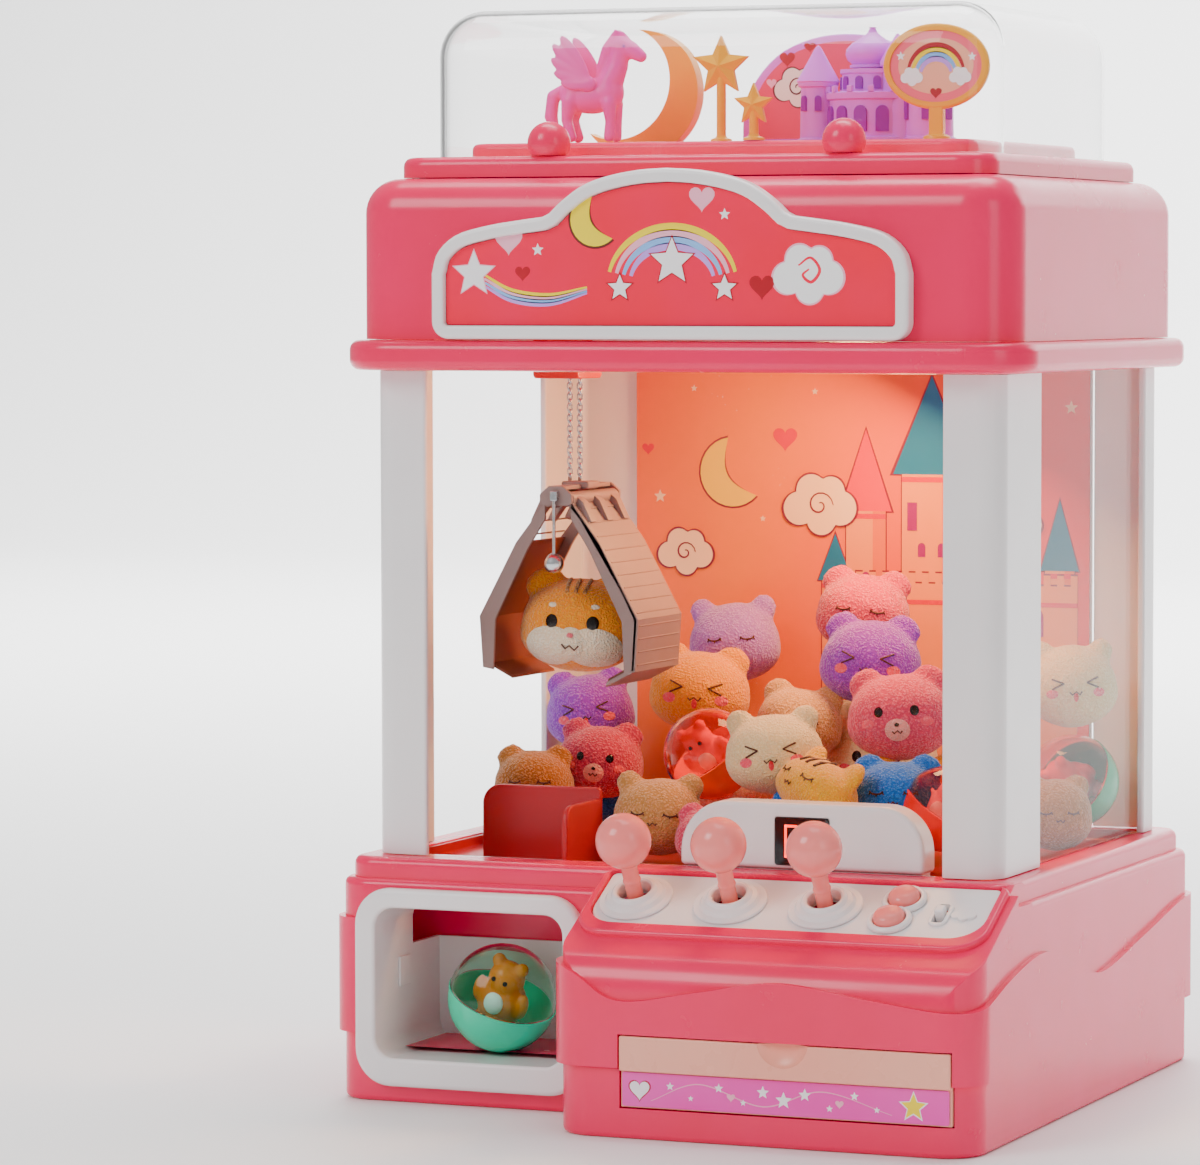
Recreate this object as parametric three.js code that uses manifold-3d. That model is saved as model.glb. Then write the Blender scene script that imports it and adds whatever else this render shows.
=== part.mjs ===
// A table-top toy claw crane machine, in millimetres, +Z up, front towards -Y.
// The origin is the middle of the footprint on the surface the machine stands on.
import * as THREE from 'three';
import { mergeVertices } from 'three/addons/utils/BufferGeometryUtils.js';
import Module from 'manifold-3d';

const wasm = await Module();
wasm.setup();

// ---------------------------------------------------------------- driving dimensions
const GAP = 0.3; // air between neighbouring pieces
const WALL = 3; // moulded shell walls
const BODY_X = 144.2; // half width of the base
const BODY_Y = 118; // half depth of the tower part of the base
const SKIRT = 2; // the base's lower band stands this far proud
const CONSOLE_LEFT = -28.2; // the console's left wall
const CONSOLE_FRONT = -166.5; // the console's front wall
const SEAM_Z = 27.4; // joint between the bottom tray and the base shell
const STEP_Z = 89.5; // lower step around the top of the base
const SILL_Z = 97.9; // top of the base, where the posts stand
const SKIRT_Z = 73.7; // straight part of the skirt's top edge
const POST_X = 132.8; // outer faces of the corner posts
const POST_Y = 104.4;
const FLANGE_Z = 292.6; // underside of the canopy flange
const CANOPY_Z = 304.6; // top of the flange, foot of the canopy
const PLATE_Z = 369; // top of the canopy
const DECK_Z = 383.5; // floor of the dome scene
const DOME_Z = 437; // overall height
const BED_Z = 93; // floor of the prize bed
const CLAW_X = -61; // where the claw hangs
const CLAW_Y = -60;
const HUB_Z = 241; // claw hinge height
const PANEL_TILT = THREE.MathUtils.degToRad(27.9);
const PANEL = { x: 56.75, y: -128.6, z: 87.55, width: 161.5, length: 35.3 };
const STICKS_X = [-8, 31.7, 71];
const BUTTONS = [[101, 7], [99.2, -6.7]]; // x, and distance up the panel from its middle

// The console stands out in front, so the tower's own middle lies behind the origin.
const TOWER_SHIFT = -(CONSOLE_FRONT - SKIRT + BODY_Y + SKIRT) / 2;

// ---------------------------------------------------------------- materials
const plastic = (color, roughness = 0.3) => new THREE.MeshStandardMaterial({ color, roughness, metalness: 0 });
const clear = (color, opacity) =>
  new THREE.MeshStandardMaterial({ color, roughness: 0.05, metalness: 0, transparent: true, opacity });
const PINK = plastic('#ee5c7c');
const DEEP_PINK = plastic('#ff4f74');
const RED = plastic('#c03048', 0.35);
const WHITE = plastic('#f3f0f1', 0.25);
const SALMON = plastic('#f9a6a0', 0.25);
const PEACH = plastic('#ffc3b5', 0.3);
const LILAC = plastic('#e79be8', 0.35);
const GOLD = plastic('#f2a93b', 0.35);
const TAUPE = plastic('#a89ba2', 0.4);
const TEAL = plastic('#35ddbb', 0.2);
const BLACK = plastic('#181416', 0.2);
const STEEL = new THREE.MeshStandardMaterial({ color: '#d5d7da', roughness: 0.25, metalness: 1 });
const GLASS = clear('#ffffff', 0.2);
const plush = (color) => plastic(color, 0.95);

// ---------------------------------------------------------------- outlines and solids
const rectangle = (x0, x1, y0, y1) => [[x0, y0], [x1, y0], [x1, y1], [x0, y1]];

// A closed outline with a round at every corner; radii is one number or one for each corner.
function rounded(points, radii, steps = 4) {
  const outline = [];
  points.forEach((point, i) => {
    const radius = Array.isArray(radii) ? radii[i] : radii;
    const corner = new THREE.Vector2(...point);
    if (!radius) return outline.push(corner);
    const before = new THREE.Vector2(...points[(i + points.length - 1) % points.length]).sub(corner).normalize();
    const after = new THREE.Vector2(...points[(i + 1) % points.length]).sub(corner).normalize();
    const half = Math.acos(THREE.MathUtils.clamp(before.dot(after), -1, 1)) / 2;
    const centre = before.clone().add(after).normalize().multiplyScalar(radius / Math.sin(half)).add(corner);
    const start = before.clone().multiplyScalar(radius / Math.tan(half)).add(corner).sub(centre);
    const turn = (before.cross(after) > 0 ? -1 : 1) * (Math.PI - 2 * half);
    for (let k = 0; k <= steps; k++) {
      outline.push(start.clone().rotateAround(new THREE.Vector2(), (turn * k) / steps).add(centre));
    }
  });
  return outline;
}

const toOutline = (points) => points.map((p) => (p.isVector2 ? p : new THREE.Vector2(...p)));

// A solid of a closed outline between two heights; ends are rounded by edge.
function prism(points, low, high, edge = 0, rounds = 2) {
  const geometry = new THREE.ExtrudeGeometry(new THREE.Shape(toOutline(points)), {
    depth: high - low - 2 * edge,
    bevelEnabled: edge > 0,
    bevelThickness: edge,
    bevelSize: edge,
    bevelOffset: -edge,
    bevelSegments: rounds,
    curveSegments: 8,
  });
  return geometry.translate(0, 0, low + edge);
}

// The same, with the outline in X and Z, or in Y and Z.
const prismY = (points, low, high, edge, rounds) =>
  prism(points, -high, -low, edge, rounds).rotateX(Math.PI / 2);
const CYCLE = new THREE.Matrix4().makeBasis(
  new THREE.Vector3(0, 1, 0), new THREE.Vector3(0, 0, 1), new THREE.Vector3(1, 0, 0));
const prismX = (points, low, high, edge, rounds) => prism(points, low, high, edge, rounds).applyMatrix4(CYCLE);

const block = (x0, x1, y0, y1, z0, z1) =>
  new THREE.BoxGeometry(x1 - x0, y1 - y0, z1 - z0).translate((x0 + x1) / 2, (y0 + y1) / 2, (z0 + z1) / 2);
const ball = (x, y, z, rx, ry = rx, rz = rx, around = 10, up = 6) =>
  new THREE.SphereGeometry(1, around, up).rotateX(Math.PI / 2).scale(rx, ry, rz).translate(x, y, z);
const rod = (radius, length, around = 14) => new THREE.CylinderGeometry(radius, radius, length, around);
// Turned shapes stand on +Z; a profile is radius and height.
const turned = (profile, around = 20) =>
  new THREE.LatheGeometry(profile.map((p) => new THREE.Vector2(...p)), around).rotateX(Math.PI / 2);

function solid(geometry) {
  if (!geometry.isBufferGeometry) return geometry;
  const bare = geometry.clone();
  bare.deleteAttribute('normal');
  bare.deleteAttribute('uv');
  const merged = mergeVertices(bare, 1e-4);
  const mesh = new wasm.Mesh({
    numProp: 3,
    vertProperties: new Float32Array(merged.attributes.position.array),
    triVerts: new Uint32Array(merged.index.array),
  });
  return new wasm.Manifold(mesh);
}
const join = (...pieces) => pieces.map(solid).reduce((a, b) => a.add(b));
const cut = (piece, ...tools) => tools.map(solid).reduce((a, b) => a.subtract(b), solid(piece));
const common = (a, b) => solid(a).intersect(solid(b));

function toGeometry(piece) {
  if (piece.isBufferGeometry) return piece;
  const mesh = piece.getMesh();
  const geometry = new THREE.BufferGeometry();
  geometry.setAttribute('position', new THREE.BufferAttribute(new Float32Array(mesh.vertProperties), 3));
  geometry.setIndex(new THREE.BufferAttribute(new Uint32Array(mesh.triVerts), 1));
  geometry.computeVertexNormals();
  return geometry;
}

const machine = new THREE.Group();
const tower = new THREE.Group();
tower.position.y = TOWER_SHIFT;
machine.add(tower);

// The console's inlay has a frame of its own: X across, Y up the slope, Z off the face.
const panelFrame = new THREE.Group();
panelFrame.position.set(PANEL.x, PANEL.y, PANEL.z);
panelFrame.rotation.x = PANEL_TILT;
tower.add(panelFrame);
panelFrame.updateMatrix();
const onPanel = (geometry) => geometry.applyMatrix4(panelFrame.matrix);

function add(name, piece, material, parent = tower) {
  const mesh = new THREE.Mesh(toGeometry(piece), material);
  mesh.name = name;
  parent.add(mesh);
  return mesh;
}

// ---------------------------------------------------------------- base
// Plan of the base: the tower's rectangle with the console standing out at the front right.
function footprint(grow) {
  const [x, y, left, front] = [BODY_X + grow, BODY_Y + grow, CONSOLE_LEFT - grow, CONSOLE_FRONT - grow];
  return rounded(
    [[-x, y], [-x, -y], [left, -y], [left, front], [x, front], [x, y]],
    [14, 14, 4, 16, 16, 14], 4);
}

// The skirt's wavy top edge, as a smooth curve through its crests and troughs.
function wave(knots, end) {
  const curve = new THREE.SplineCurve(knots.map((k) => new THREE.Vector2(...k)));
  return [[knots[0][0], 10], ...curve.getPoints(20).map((p) => [p.x, p.y]), [end, 10]];
}
const FRONT_WAVE = [[-60, 73], [-21, 64.4], [0, 53.4], [33, 58], [65, 63.1], [100, 59], [133, 55.2], [160, 56]];
const SIDE_WAVE = [[-180, 55], [-160, 55.6], [-122.6, 64.9], [-85, 69.2], [-50, 61], [-15, 52.7], [40, 60.5],
  [97, 69.7], [130, 71]];

const BAY = { x0: -124.3, x1: -42.7, z0: 18.2, z1: 78.5 }; // the bay's clear opening
const bayOutline = (grow, radius) =>
  rounded(rectangle(BAY.x0 - grow, BAY.x1 + grow, BAY.z0 - grow, BAY.z1 + grow), radius);
const RING = rounded(rectangle(-133.4, -34, 6.7, 86.3), 15, 5);
const RING_POCKET = rounded(rectangle(-133.8, -33.6, 6.3, 86.7), 15.4, 5);
const DRAWER = { x0: 1.3, x1: 135.5, z0: 12.3, z1: 40 };

function makeTray() {
  const shell = prism(footprint(0), 0, SEAM_Z - GAP, 1.6);
  const hollow = prism(footprint(-WALL), WALL, SEAM_Z + 10);
  const bayHole = prismY(bayOutline(2.6, 10), -BODY_Y - 6, -100);
  const drawerHole = block(DRAWER.x0 - 0.5, DRAWER.x1 + 0.5, -172, -160, DRAWER.z0 - 0.5, 40);
  const runners = [14, 116].map((x) => block(x, x + 4, -162, -70, WALL - 1, DRAWER.z0 + 0.4));
  return join(cut(shell, hollow, bayHole, drawerHole), ...runners);
}

// The console in section: front wall, rounded shoulder, slope up to the sill.
const SHOULDER = Math.tan(PANEL_TILT);
const consoleSection = (inset) => rounded(
  [[-98, SEAM_Z - inset * 3], [CONSOLE_FRONT + inset, SEAM_Z - inset * 3], [CONSOLE_FRONT + inset, 66.3 - inset],
    [-108, 97.3 - inset * 1.5], [-98, 97.3 - inset * 1.5]],
  [0, 0, 16 - inset, 0, 0], 4);

function makeBaseShell() {
  const body = prism(rounded(rectangle(-BODY_X, BODY_X, -BODY_Y, BODY_Y), 14), SEAM_Z, STEP_Z, 2.5);
  const lip = prism(rounded(rectangle(-140.5, 140.5, -114.3, 114.3), 11), 84, SILL_Z, 3, 3);
  const console_ = cut(
    common(prismX(consoleSection(0), CONSOLE_LEFT, BODY_X), prism(footprint(0), SEAM_Z, 110)),
    block(140.5, 150, -114.3, -90, STEP_Z, 110));
  const ridge = onPanel(prism(
    rounded(rectangle(-84.2, 84.2, -PANEL.length / 2 - 6.5, PANEL.length / 2 + 0.4), [14, 14, 4, 4]), -6, 1.5, 1.2));
  const band = prism(footprint(SKIRT), SEAM_Z, 80);
  const skirt = join(
    common(band, prismY(wave(FRONT_WAVE, 160), -175, -125)),
    common(band, prismX(wave(SIDE_WAVE, 130), 110, 150)),
    common(band, block(-150, -120, -125, 125, 20, SKIRT_Z)),
    common(band, block(-150, -25, -125, -110, 20, SKIRT_Z)),
    common(band, block(-150, 150, 110, 125, 20, 69.7)));
  const outside = join(body, lip, console_, ridge, skirt);
  const hollows = [
    prism(rounded(rectangle(-BODY_X + WALL, BODY_X - WALL, -BODY_Y + WALL, BODY_Y - WALL), 11), 20, 86.5),
    prism(rounded(rectangle(-137.5, 137.5, -111.3, 111.3), 8), 80, SILL_Z - WALL),
    common(prismX(consoleSection(WALL), CONSOLE_LEFT + WALL, BODY_X - WALL), prism(footprint(-WALL), 10, 110)),
    block(-126, 126, -98, 98, 90, 110),
    prismY(bayOutline(2.6, 10), -BODY_Y - 6, -100),
    prismY(RING_POCKET, -BODY_Y - 6, -BODY_Y),
    block(DRAWER.x0 - 0.5, DRAWER.x1 + 0.5, -172, -160, 20, DRAWER.z1 + 0.5),
    onPanel(prism(panelOutline(GAP), -2.3, 4)),
    onPanel(block(-76, 76, -15, 15, -12, 4)),
  ];
  const bayWall = block(-142, -33, -57.5, -55.3, 30, 84);
  return join(cut(outside, ...hollows), bayWall);
}

const panelOutline = (grow) => rounded(
  rectangle(-PANEL.width / 2 - grow, PANEL.width / 2 + grow, -PANEL.length / 2 - grow, PANEL.length / 2 + grow),
  [13, 13, 2, 2], 3);

// The bay's liner: a thick round frame outside, an open-topped tub behind it, low at the back.
function makeBayLiner() {
  const frame = prismY(RING, -BODY_Y - 4, -BODY_Y - GAP, 1.2);
  const tub = prismY(bayOutline(2.2, 10), -BODY_Y - 2, -58.3);
  const inside = prismY(bayOutline(0, 8), -BODY_Y - 6, -60.5);
  const chuteMouth = block(-122, -45, -96, -50, 70, 90);
  const lowRear = block(-130, -36, -86, -50, 60, 90);
  return cut(join(frame, tub), inside, chuteMouth, lowRear);
}

const CHUTE = { x0: -123.6, x1: -54, y0: -95.6, y1: -62 };
function makeBedTub() {
  const tub = cut(
    block(-125.6, 125.6, -97.6, 97.6, BED_Z - 2.8, SILL_Z - 0.5),
    block(-123.6, 123.6, -95.6, 95.6, BED_Z, 110));
  const rearWall = prismY(rounded(rectangle(-104, -51.6, 91, 123.5), [0, 0, 2, 7]), CHUTE.y1, CHUTE.y1 + 2.4);
  const rightWall = prismX(rounded(rectangle(-96, CHUTE.y1 + 1, 91, 119), [0, 0, 2, 6]), CHUTE.x1, CHUTE.x1 + 2.4);
  const duct = block(CHUTE.x0 - 2, CHUTE.x1 + 2, CHUTE.y0 - 2, CHUTE.y1 + 2, 84.6, 91);
  const hole = block(CHUTE.x0, CHUTE.x1, CHUTE.y0, CHUTE.y1, 80, 95);
  return join(cut(join(tub, duct), hole), rearWall, rightWall);
}

add('base_tray', makeTray(), PINK);
add('base_shell', makeBaseShell(), PINK);
add('bay_liner', makeBayLiner(), WHITE);
add('bed_tub', makeBedTub(), RED);

// ---------------------------------------------------------------- drawer
function makeDrawer() {
  const { x0, x1, z0, z1 } = DRAWER;
  const upper = block(x0, x1, CONSOLE_FRONT - SKIRT, -162, SEAM_Z - 1, z1);
  const lower = block(x0, x1, CONSOLE_FRONT + 0.6, -162, z0, SEAM_Z);
  const scoop = ball((x0 + x1) / 2, CONSOLE_FRONT - SKIRT, z1 + 1, 10.5, 3.6, 10.5);
  const tray = cut(block(5, 131, -163, -95, z0 + 1, 37), block(7, 129, -161, -97, z0 + 3, 50));
  return join(cut(join(upper, lower), scoop), tray);
}
add('drawer', makeDrawer(), PEACH);
add('drawer_label',
  block(DRAWER.x0 + 0.7, DRAWER.x1 - 0.7, CONSOLE_FRONT - 0.3, CONSOLE_FRONT + 0.3, DRAWER.z0 + 0.5, SEAM_Z - 1.3),
  plastic('#f07abf', 0.4));

// ---------------------------------------------------------------- console
function makeControlPanel() {
  const sticks = STICKS_X.map((x) => rod(7.4, 10, 16).rotateX(Math.PI / 2).translate(x - PANEL.x, 0, 0));
  const buttons = BUTTONS.map(([x, y]) => rod(6.4, 10, 16).rotateX(Math.PI / 2).translate(x - PANEL.x, y, 0));
  const slot = block(59.2, 63.8, -7, 5, -5, 5);
  return cut(prism(panelOutline(0), -2, 0, 0.4, 1), ...sticks, ...buttons, slot);
}
add('control_panel', makeControlPanel(), WHITE, panelFrame);

// A low volcano round each lever, open in the middle.
const ESCUTCHEON = [[6.4, GAP], [14.6, GAP], [14.4, 1], [12, 1.9], [9.2, 3.8], [7.6, 5], [6.4, 4.4], [6.4, GAP]];
const LEVER = [[0, -9], [3.2, -9], [3.2, 18], [6.4, 18.2], [9.4, 21.4], [10.9, 26.4], [10, 31.6],
  [6.8, 35.8], [3, 37.8], [0, 38.1]];
STICKS_X.forEach((x, i) => {
  const name = ['left', 'middle', 'right'][i];
  add(`escutcheon_${name}`, turned(ESCUTCHEON, 20), WHITE, panelFrame).position.x = x - PANEL.x;
  add(`lever_${name}`, turned(LEVER, 16), SALMON, panelFrame).position.x = x - PANEL.x;
});

const button = turned([[0, -5], [6.7, -5], [6.7, -2.9], [6.1, -2.7], [6.1, 2.4], [5.6, 3.6], [3.6, 4.9], [0, 5.3]], 16);
const bezelRings = BUTTONS.map(([x, y]) => rod(8.6, 1.8, 18).rotateX(Math.PI / 2).translate(x - PANEL.x, y, 0.9 + GAP));
const bezelHoles = BUTTONS.map(([x, y]) => rod(6.4, 9, 16).rotateX(Math.PI / 2).translate(x - PANEL.x, y, 1));
add('button_bezel', cut(join(...bezelRings), ...bezelHoles), WHITE, panelFrame);
BUTTONS.forEach(([x, y], i) => {
  add(['button_rear', 'button_front'][i], button.clone(), SALMON, panelFrame).position.set(x - PANEL.x, y, 0);
});
add('mode_switch', join(block(59.5, 63.5, -3.2, 1.2, -4, 3.6), block(57.5, 65.5, -4, 2, -5, -2.4)), WHITE, panelFrame);

// ---------------------------------------------------------------- cabinet
const POST_LOW = SILL_Z + GAP;
const POST_HIGH = FLANGE_Z - GAP;
// Posts are L-shaped channels: one leg across the front or back, one along the side.
function makePost(signX, signY, across, along) {
  const [x, y, t] = [POST_X, POST_Y, WALL];
  const corner = [[x, y], [x - across, y], [x - across, y - t], [x - t, y - t], [x - t, y - along], [x, y - along]];
  let outline = rounded(corner, [9, 1, 0.8, 2, 0.8, 1], 3).map((p) => [p.x * signX, p.y * signY]);
  if (signX * signY < 0) outline = outline.reverse();
  return prism(outline, POST_LOW, POST_HIGH);
}
add('post_front_left', makePost(-1, -1, 23.4, 51), WHITE);
add('post_front_right', makePost(1, -1, 23.4, 51), WHITE);
add('post_rear_left', makePost(-1, 1, 28.9, 44), WHITE);
add('post_rear_right', makePost(1, 1, 28.9, 22), WHITE);

add('window_front', block(-126, 126, -101.1, -99.6, POST_LOW, POST_HIGH), GLASS);
add('window_left', block(-129.5, -128, -98.6, 97, POST_LOW, POST_HIGH), GLASS);
add('window_right', block(128, 129.5, -98.6, 97, POST_LOW, POST_HIGH), GLASS);

// The rear loading door swings on its left edge and carries the printed backdrop.
const DOOR_X = 103.4;
add('rear_door', block(-DOOR_X, DOOR_X, 99.6, 102.6, POST_LOW + 0.1, POST_HIGH - 0.1), WHITE);
add('backdrop', block(-DOOR_X + 0.4, DOOR_X - 0.4, 98.5, 99.3, POST_LOW + 0.4, POST_HIGH - 0.4), plastic('#ee8d70', 0.5));

const HOUSING = { x0: -2, x1: 100, y0: -98.3, y1: -84, z0: SILL_Z + GAP, z1: 124.3 };
const housing = prismY(
  rounded(rectangle(HOUSING.x0, HOUSING.x1, HOUSING.z0, HOUSING.z1), [2, 2, 18, 20], 5), HOUSING.y0, HOUSING.y1, 1.5);
const housingFoot = block(0, 98, -95.2, HOUSING.y1 - 1, BED_Z + GAP, 104);
add('display_housing', cut(
  join(housing, housingFoot), block(38, 61.2, HOUSING.y0 - 1, HOUSING.y0 + 1, 99.7, 119)), WHITE);
add('display_window', block(38.3, 60.9, HOUSING.y0 - 0.5, HOUSING.y0 + 0.7, 100, 118.7), BLACK);

// ---------------------------------------------------------------- canopy
const flangeHole = prism(rounded(rectangle(-127.5, 127.5, -100.5, 100.5), 2, 2), FLANGE_Z - 5, CANOPY_Z + 5);
add('canopy_flange', cut(
  prism(rounded(rectangle(-145, 145, -118, 118), 24, 4), FLANGE_Z, CANOPY_Z, 3), flangeHole), PINK);

// The sign's outline, right half from the bottom middle to the top of its arch, then mirrored.
function signOutline(inset) {
  const half = [[93.3, 305.2], [98.2, 307.2], [100.3, 312], [100.3, 330], [96.8, 339], [89, 346], [76, 349.8],
    [62, 352], [50.5, 353.4], [44.5, 358.3], [36, 364.6], [25, 368.8], [12, 371.2], [0, 371.9]];
  const all = [...half, ...half.slice(0, -1).reverse().map(([x, z]) => [-x, z])];
  return all.map(([x, z], i) => {
    const [ax, az] = all[(i + all.length - 1) % all.length];
    const [bx, bz] = all[(i + 1) % all.length];
    const length = Math.hypot(bx - ax, bz - az);
    return [x - (inset * (bz - az)) / length, z + (inset * (bx - ax)) / length];
  });
}
function makeCanopy() {
  const round = 14;
  const outer = cut(
    prism(rounded(rectangle(-139, 139, -111.7, 111.7), 20, 4), CANOPY_Z - 30, PLATE_Z, round, 3),
    block(-150, 150, -120, 120, 200, CANOPY_Z + GAP));
  const crest = cut(prismY(signOutline(1.2), -111.7, -99.5), block(-110, 110, -120, -80, 290, 340));
  const hollow = prism(rounded(rectangle(-136, 136, -108.7, 108.7), 17), CANOPY_Z - 30, PLATE_Z - WALL, 12, 2);
  return cut(join(outer, crest), hollow);
}
add('canopy_shell', makeCanopy(), PINK);

const FRAME_WIDTH = 5.4;
add('sign_frame', cut(
  prismY(signOutline(0), -118.5, -112, 1.4), prismY(signOutline(FRAME_WIDTH), -125, -105)), WHITE);
add('sign_panel', prismY(signOutline(FRAME_WIDTH + GAP), -115.6, -112), DEEP_PINK);

add('top_plate', join(
  prism(rounded(rectangle(-126, 126, -99, 99), 14, 3), PLATE_Z + GAP, 377.5, 3),
  prism(rounded(rectangle(-108, 108, -70, 70), 12, 3), 375, DECK_Z, 2.5)), PINK);

const DOME_FOOT = 377.5 + GAP;
const domeForm = (inset, round) => prism(
  rounded(rectangle(-120 + inset, 120 - inset, -82 + inset, 82 - inset), 20 - inset, 4),
  DOME_FOOT - 45, DOME_Z - inset, round, 3);
add('dome', cut(domeForm(0, 19), domeForm(1.8, 17.2), block(-130, 130, -90, 90, 300, DOME_FOOT)), GLASS);
[['left', -61], ['right', 64]].forEach(([side, x]) => {
  add(`dome_knob_${side}`, cut(ball(x, -90.8, 382.7, 8.3, 8.3, 8.3, 14, 9), block(x - 10, x + 10, -101, -80, 370, DOME_FOOT)), PINK);
});

// ---------------------------------------------------------------- dome scene
const FOOT = DECK_Z + GAP;
function makePony() {
  const [x, y] = [-61, -45];
  const legs = [[-9, -5], [-9, 5], [8, -5], [8, 5]].map(([dx, dy]) =>
    rod(2.8, 17, 7).rotateX(Math.PI / 2).translate(x + dx, y + dy, FOOT + 8.5));
  const neck = rod(4.6, 22, 8).rotateX(Math.PI / 2).rotateY(0.25).translate(x + 11.5, y, FOOT + 27);
  const wings = [-1, 1].map((side) => prismY(
    rounded([[-4, 20], [0, 24], [-8, 40], [-20, 43], [-17, 34], [-13, 26]], 1.5, 2), side * 7 - 1.3, side * 7 + 1.3)
    .translate(x, y, FOOT));
  return join(ball(x, y, FOOT + 18, 14, 7.5, 7.5, 10, 6), ...legs, neck,
    ball(x + 17, y, FOOT + 38, 8, 4.6, 5.4), ...wings, ball(x + 9, y, FOOT + 40, 4, 3.6, 4, 8, 5));
}
add('dome_pony', makePony(), plastic('#f583c0', 0.4));

function makeMoon() {
  const disc = rod(27, 7, 32).translate(-58, -4, FOOT + 22);
  const bite = rod(24.5, 12, 32).translate(-68, -4, FOOT + 27);
  return cut(disc, bite, block(-100, -20, -20, 20, 370, FOOT));
}
add('dome_moon', makeMoon(), GOLD);

function makeStar(x, y, z, radius) {
  const points = Array.from({ length: 10 }, (_, k) => {
    const r = k % 2 ? radius * 0.48 : radius;
    const a = Math.PI / 2 + (k * Math.PI) / 5;
    return [x + r * Math.cos(a), z + r * Math.sin(a)];
  });
  const post = rod(2.1, z - FOOT, 10).rotateX(Math.PI / 2).translate(x, y, (z + FOOT) / 2);
  return join(prismY(points, y - 2.4, y + 2.4), post);
}
add('dome_star_tall', makeStar(-3.5, -50, FOOT + 30, 12.4), GOLD);
add('dome_star_small', makeStar(16, -64, FOOT + 14, 8.6), GOLD);

const archOutline = [[-23, FOOT], ...Array.from({ length: 15 }, (_, k) => {
  const a = Math.PI - (k * Math.PI) / 14;
  return [22 + 45 * Math.cos(a), FOOT + 8 + 39 * Math.sin(a)];
}), [67, FOOT]].reverse();
add('dome_arch_board', prismY(archOutline, 22, 26), LILAC);

function makeCastle() {
  const [x, y] = [44, -4];
  const keep = turned([[0, 0], [21, 0], [20, 20], [14.5, 22], [13, 33], [0, 33]], 14).translate(x + 2, y, FOOT);
  const onion = turned([[0, 30], [9.5, 31], [11.5, 35], [10, 39.5], [5, 43.5], [1.4, 47.6], [0, 48.3]], 12)
    .translate(x, y, FOOT);
  const turret = turned([[0, 0], [9, 0], [8, 24], [8.6, 25], [5.4, 33], [4, 38], [0, 40]], 10).translate(x - 22, y - 4, FOOT);
  const drum = turned([[0, 0], [12, 0], [11, 22], [12.5, 24], [12.5, 27], [0, 29]], 12).translate(x + 24, y - 3, FOOT);
  return join(keep, onion, turret, drum);
}
add('dome_castle', makeCastle(), LILAC);

const signPost = rod(2.5, 24, 12).rotateX(Math.PI / 2).translate(88.5, -52, FOOT + 12);
const signDisc = rod(1, 4, 28).scale(22, 1, 17).translate(88.5, -52, FOOT + 28.6);
add('dome_oval_sign', join(signDisc, signPost), GOLD);

// ---------------------------------------------------------------- crane
const RAIL = { x: 121, z: 299, radius: 2.5 };
[['left', -1], ['right', 1]].forEach(([side, sign]) => {
  add(`rail_${side}`, rod(RAIL.radius, 200.2, 12).translate(sign * RAIL.x, 0, RAIL.z), STEEL);
});

const BEAM = { y0: -55.5, y1: -48.5, z0: 298, z1: 305 };
function makeBridge() {
  const beam = block(-116, 116, BEAM.y0, BEAM.y1, BEAM.z0, BEAM.z1);
  const ends = [-1, 1].map((sign) => cut(
    block(sign * RAIL.x - 5.6, sign * RAIL.x + 5.6, -60, -44, 294.5, 305),
    rod(RAIL.radius + GAP, 40, 12).translate(sign * RAIL.x, -52, RAIL.z)));
  return join(beam, ...ends);
}
add('crane_bridge', makeBridge(), WHITE);

const CHAIN_X = [-65.2, -60.8];
const CHAIN_Y = -61;
add('crane_trolley', cut(
  block(-77.5, -57.5, -71, -45, 289, 309),
  block(-90, -40, BEAM.y0 - GAP, BEAM.y1 + GAP, BEAM.z0 - GAP, BEAM.z1 + GAP),
  block(CHAIN_X[0] - 2, CHAIN_X[1] + 2, CHAIN_Y - 2, CHAIN_Y + 2, 280, 320)), plastic('#d62c3d', 0.3));

CHAIN_X.forEach((x, i) => {
  add(`chain_${['left', 'right'][i]}`, block(x - 0.8, x + 0.8, CHAIN_Y - 0.8, CHAIN_Y + 0.8, 247.9, 326), STEEL);
});

const CLAW_DEPTH = 46;
const PIN_X = 4.2; // each shell hinges this far to its side of the middle
function makeHub() {
  const half = CLAW_DEPTH / 2;
  const block_ = block(CLAW_X - 6, CLAW_X + 6, CLAW_Y - 6, CLAW_Y + 6, 244.6, 247.6);
  const spine = block(CLAW_X - 3, CLAW_X + 3, CLAW_Y - half - 2.2, CLAW_Y + half + 2.2, 244.6, 246.4);
  const ears = [-1, 1].map((side) => block(
    CLAW_X - 7, CLAW_X + 7, CLAW_Y + side * (half + 1.3) - 0.9, CLAW_Y + side * (half + 1.3) + 0.9, 238.5, 246.4));
  const pins = [-1, 1].map((side) => rod(1.2, CLAW_DEPTH + 3, 10).translate(CLAW_X + side * PIN_X, CLAW_Y, HUB_Z));
  return join(block_, spine, ...ears, ...pins);
}
add('claw_hub', makeHub(), TAUPE);

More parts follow.
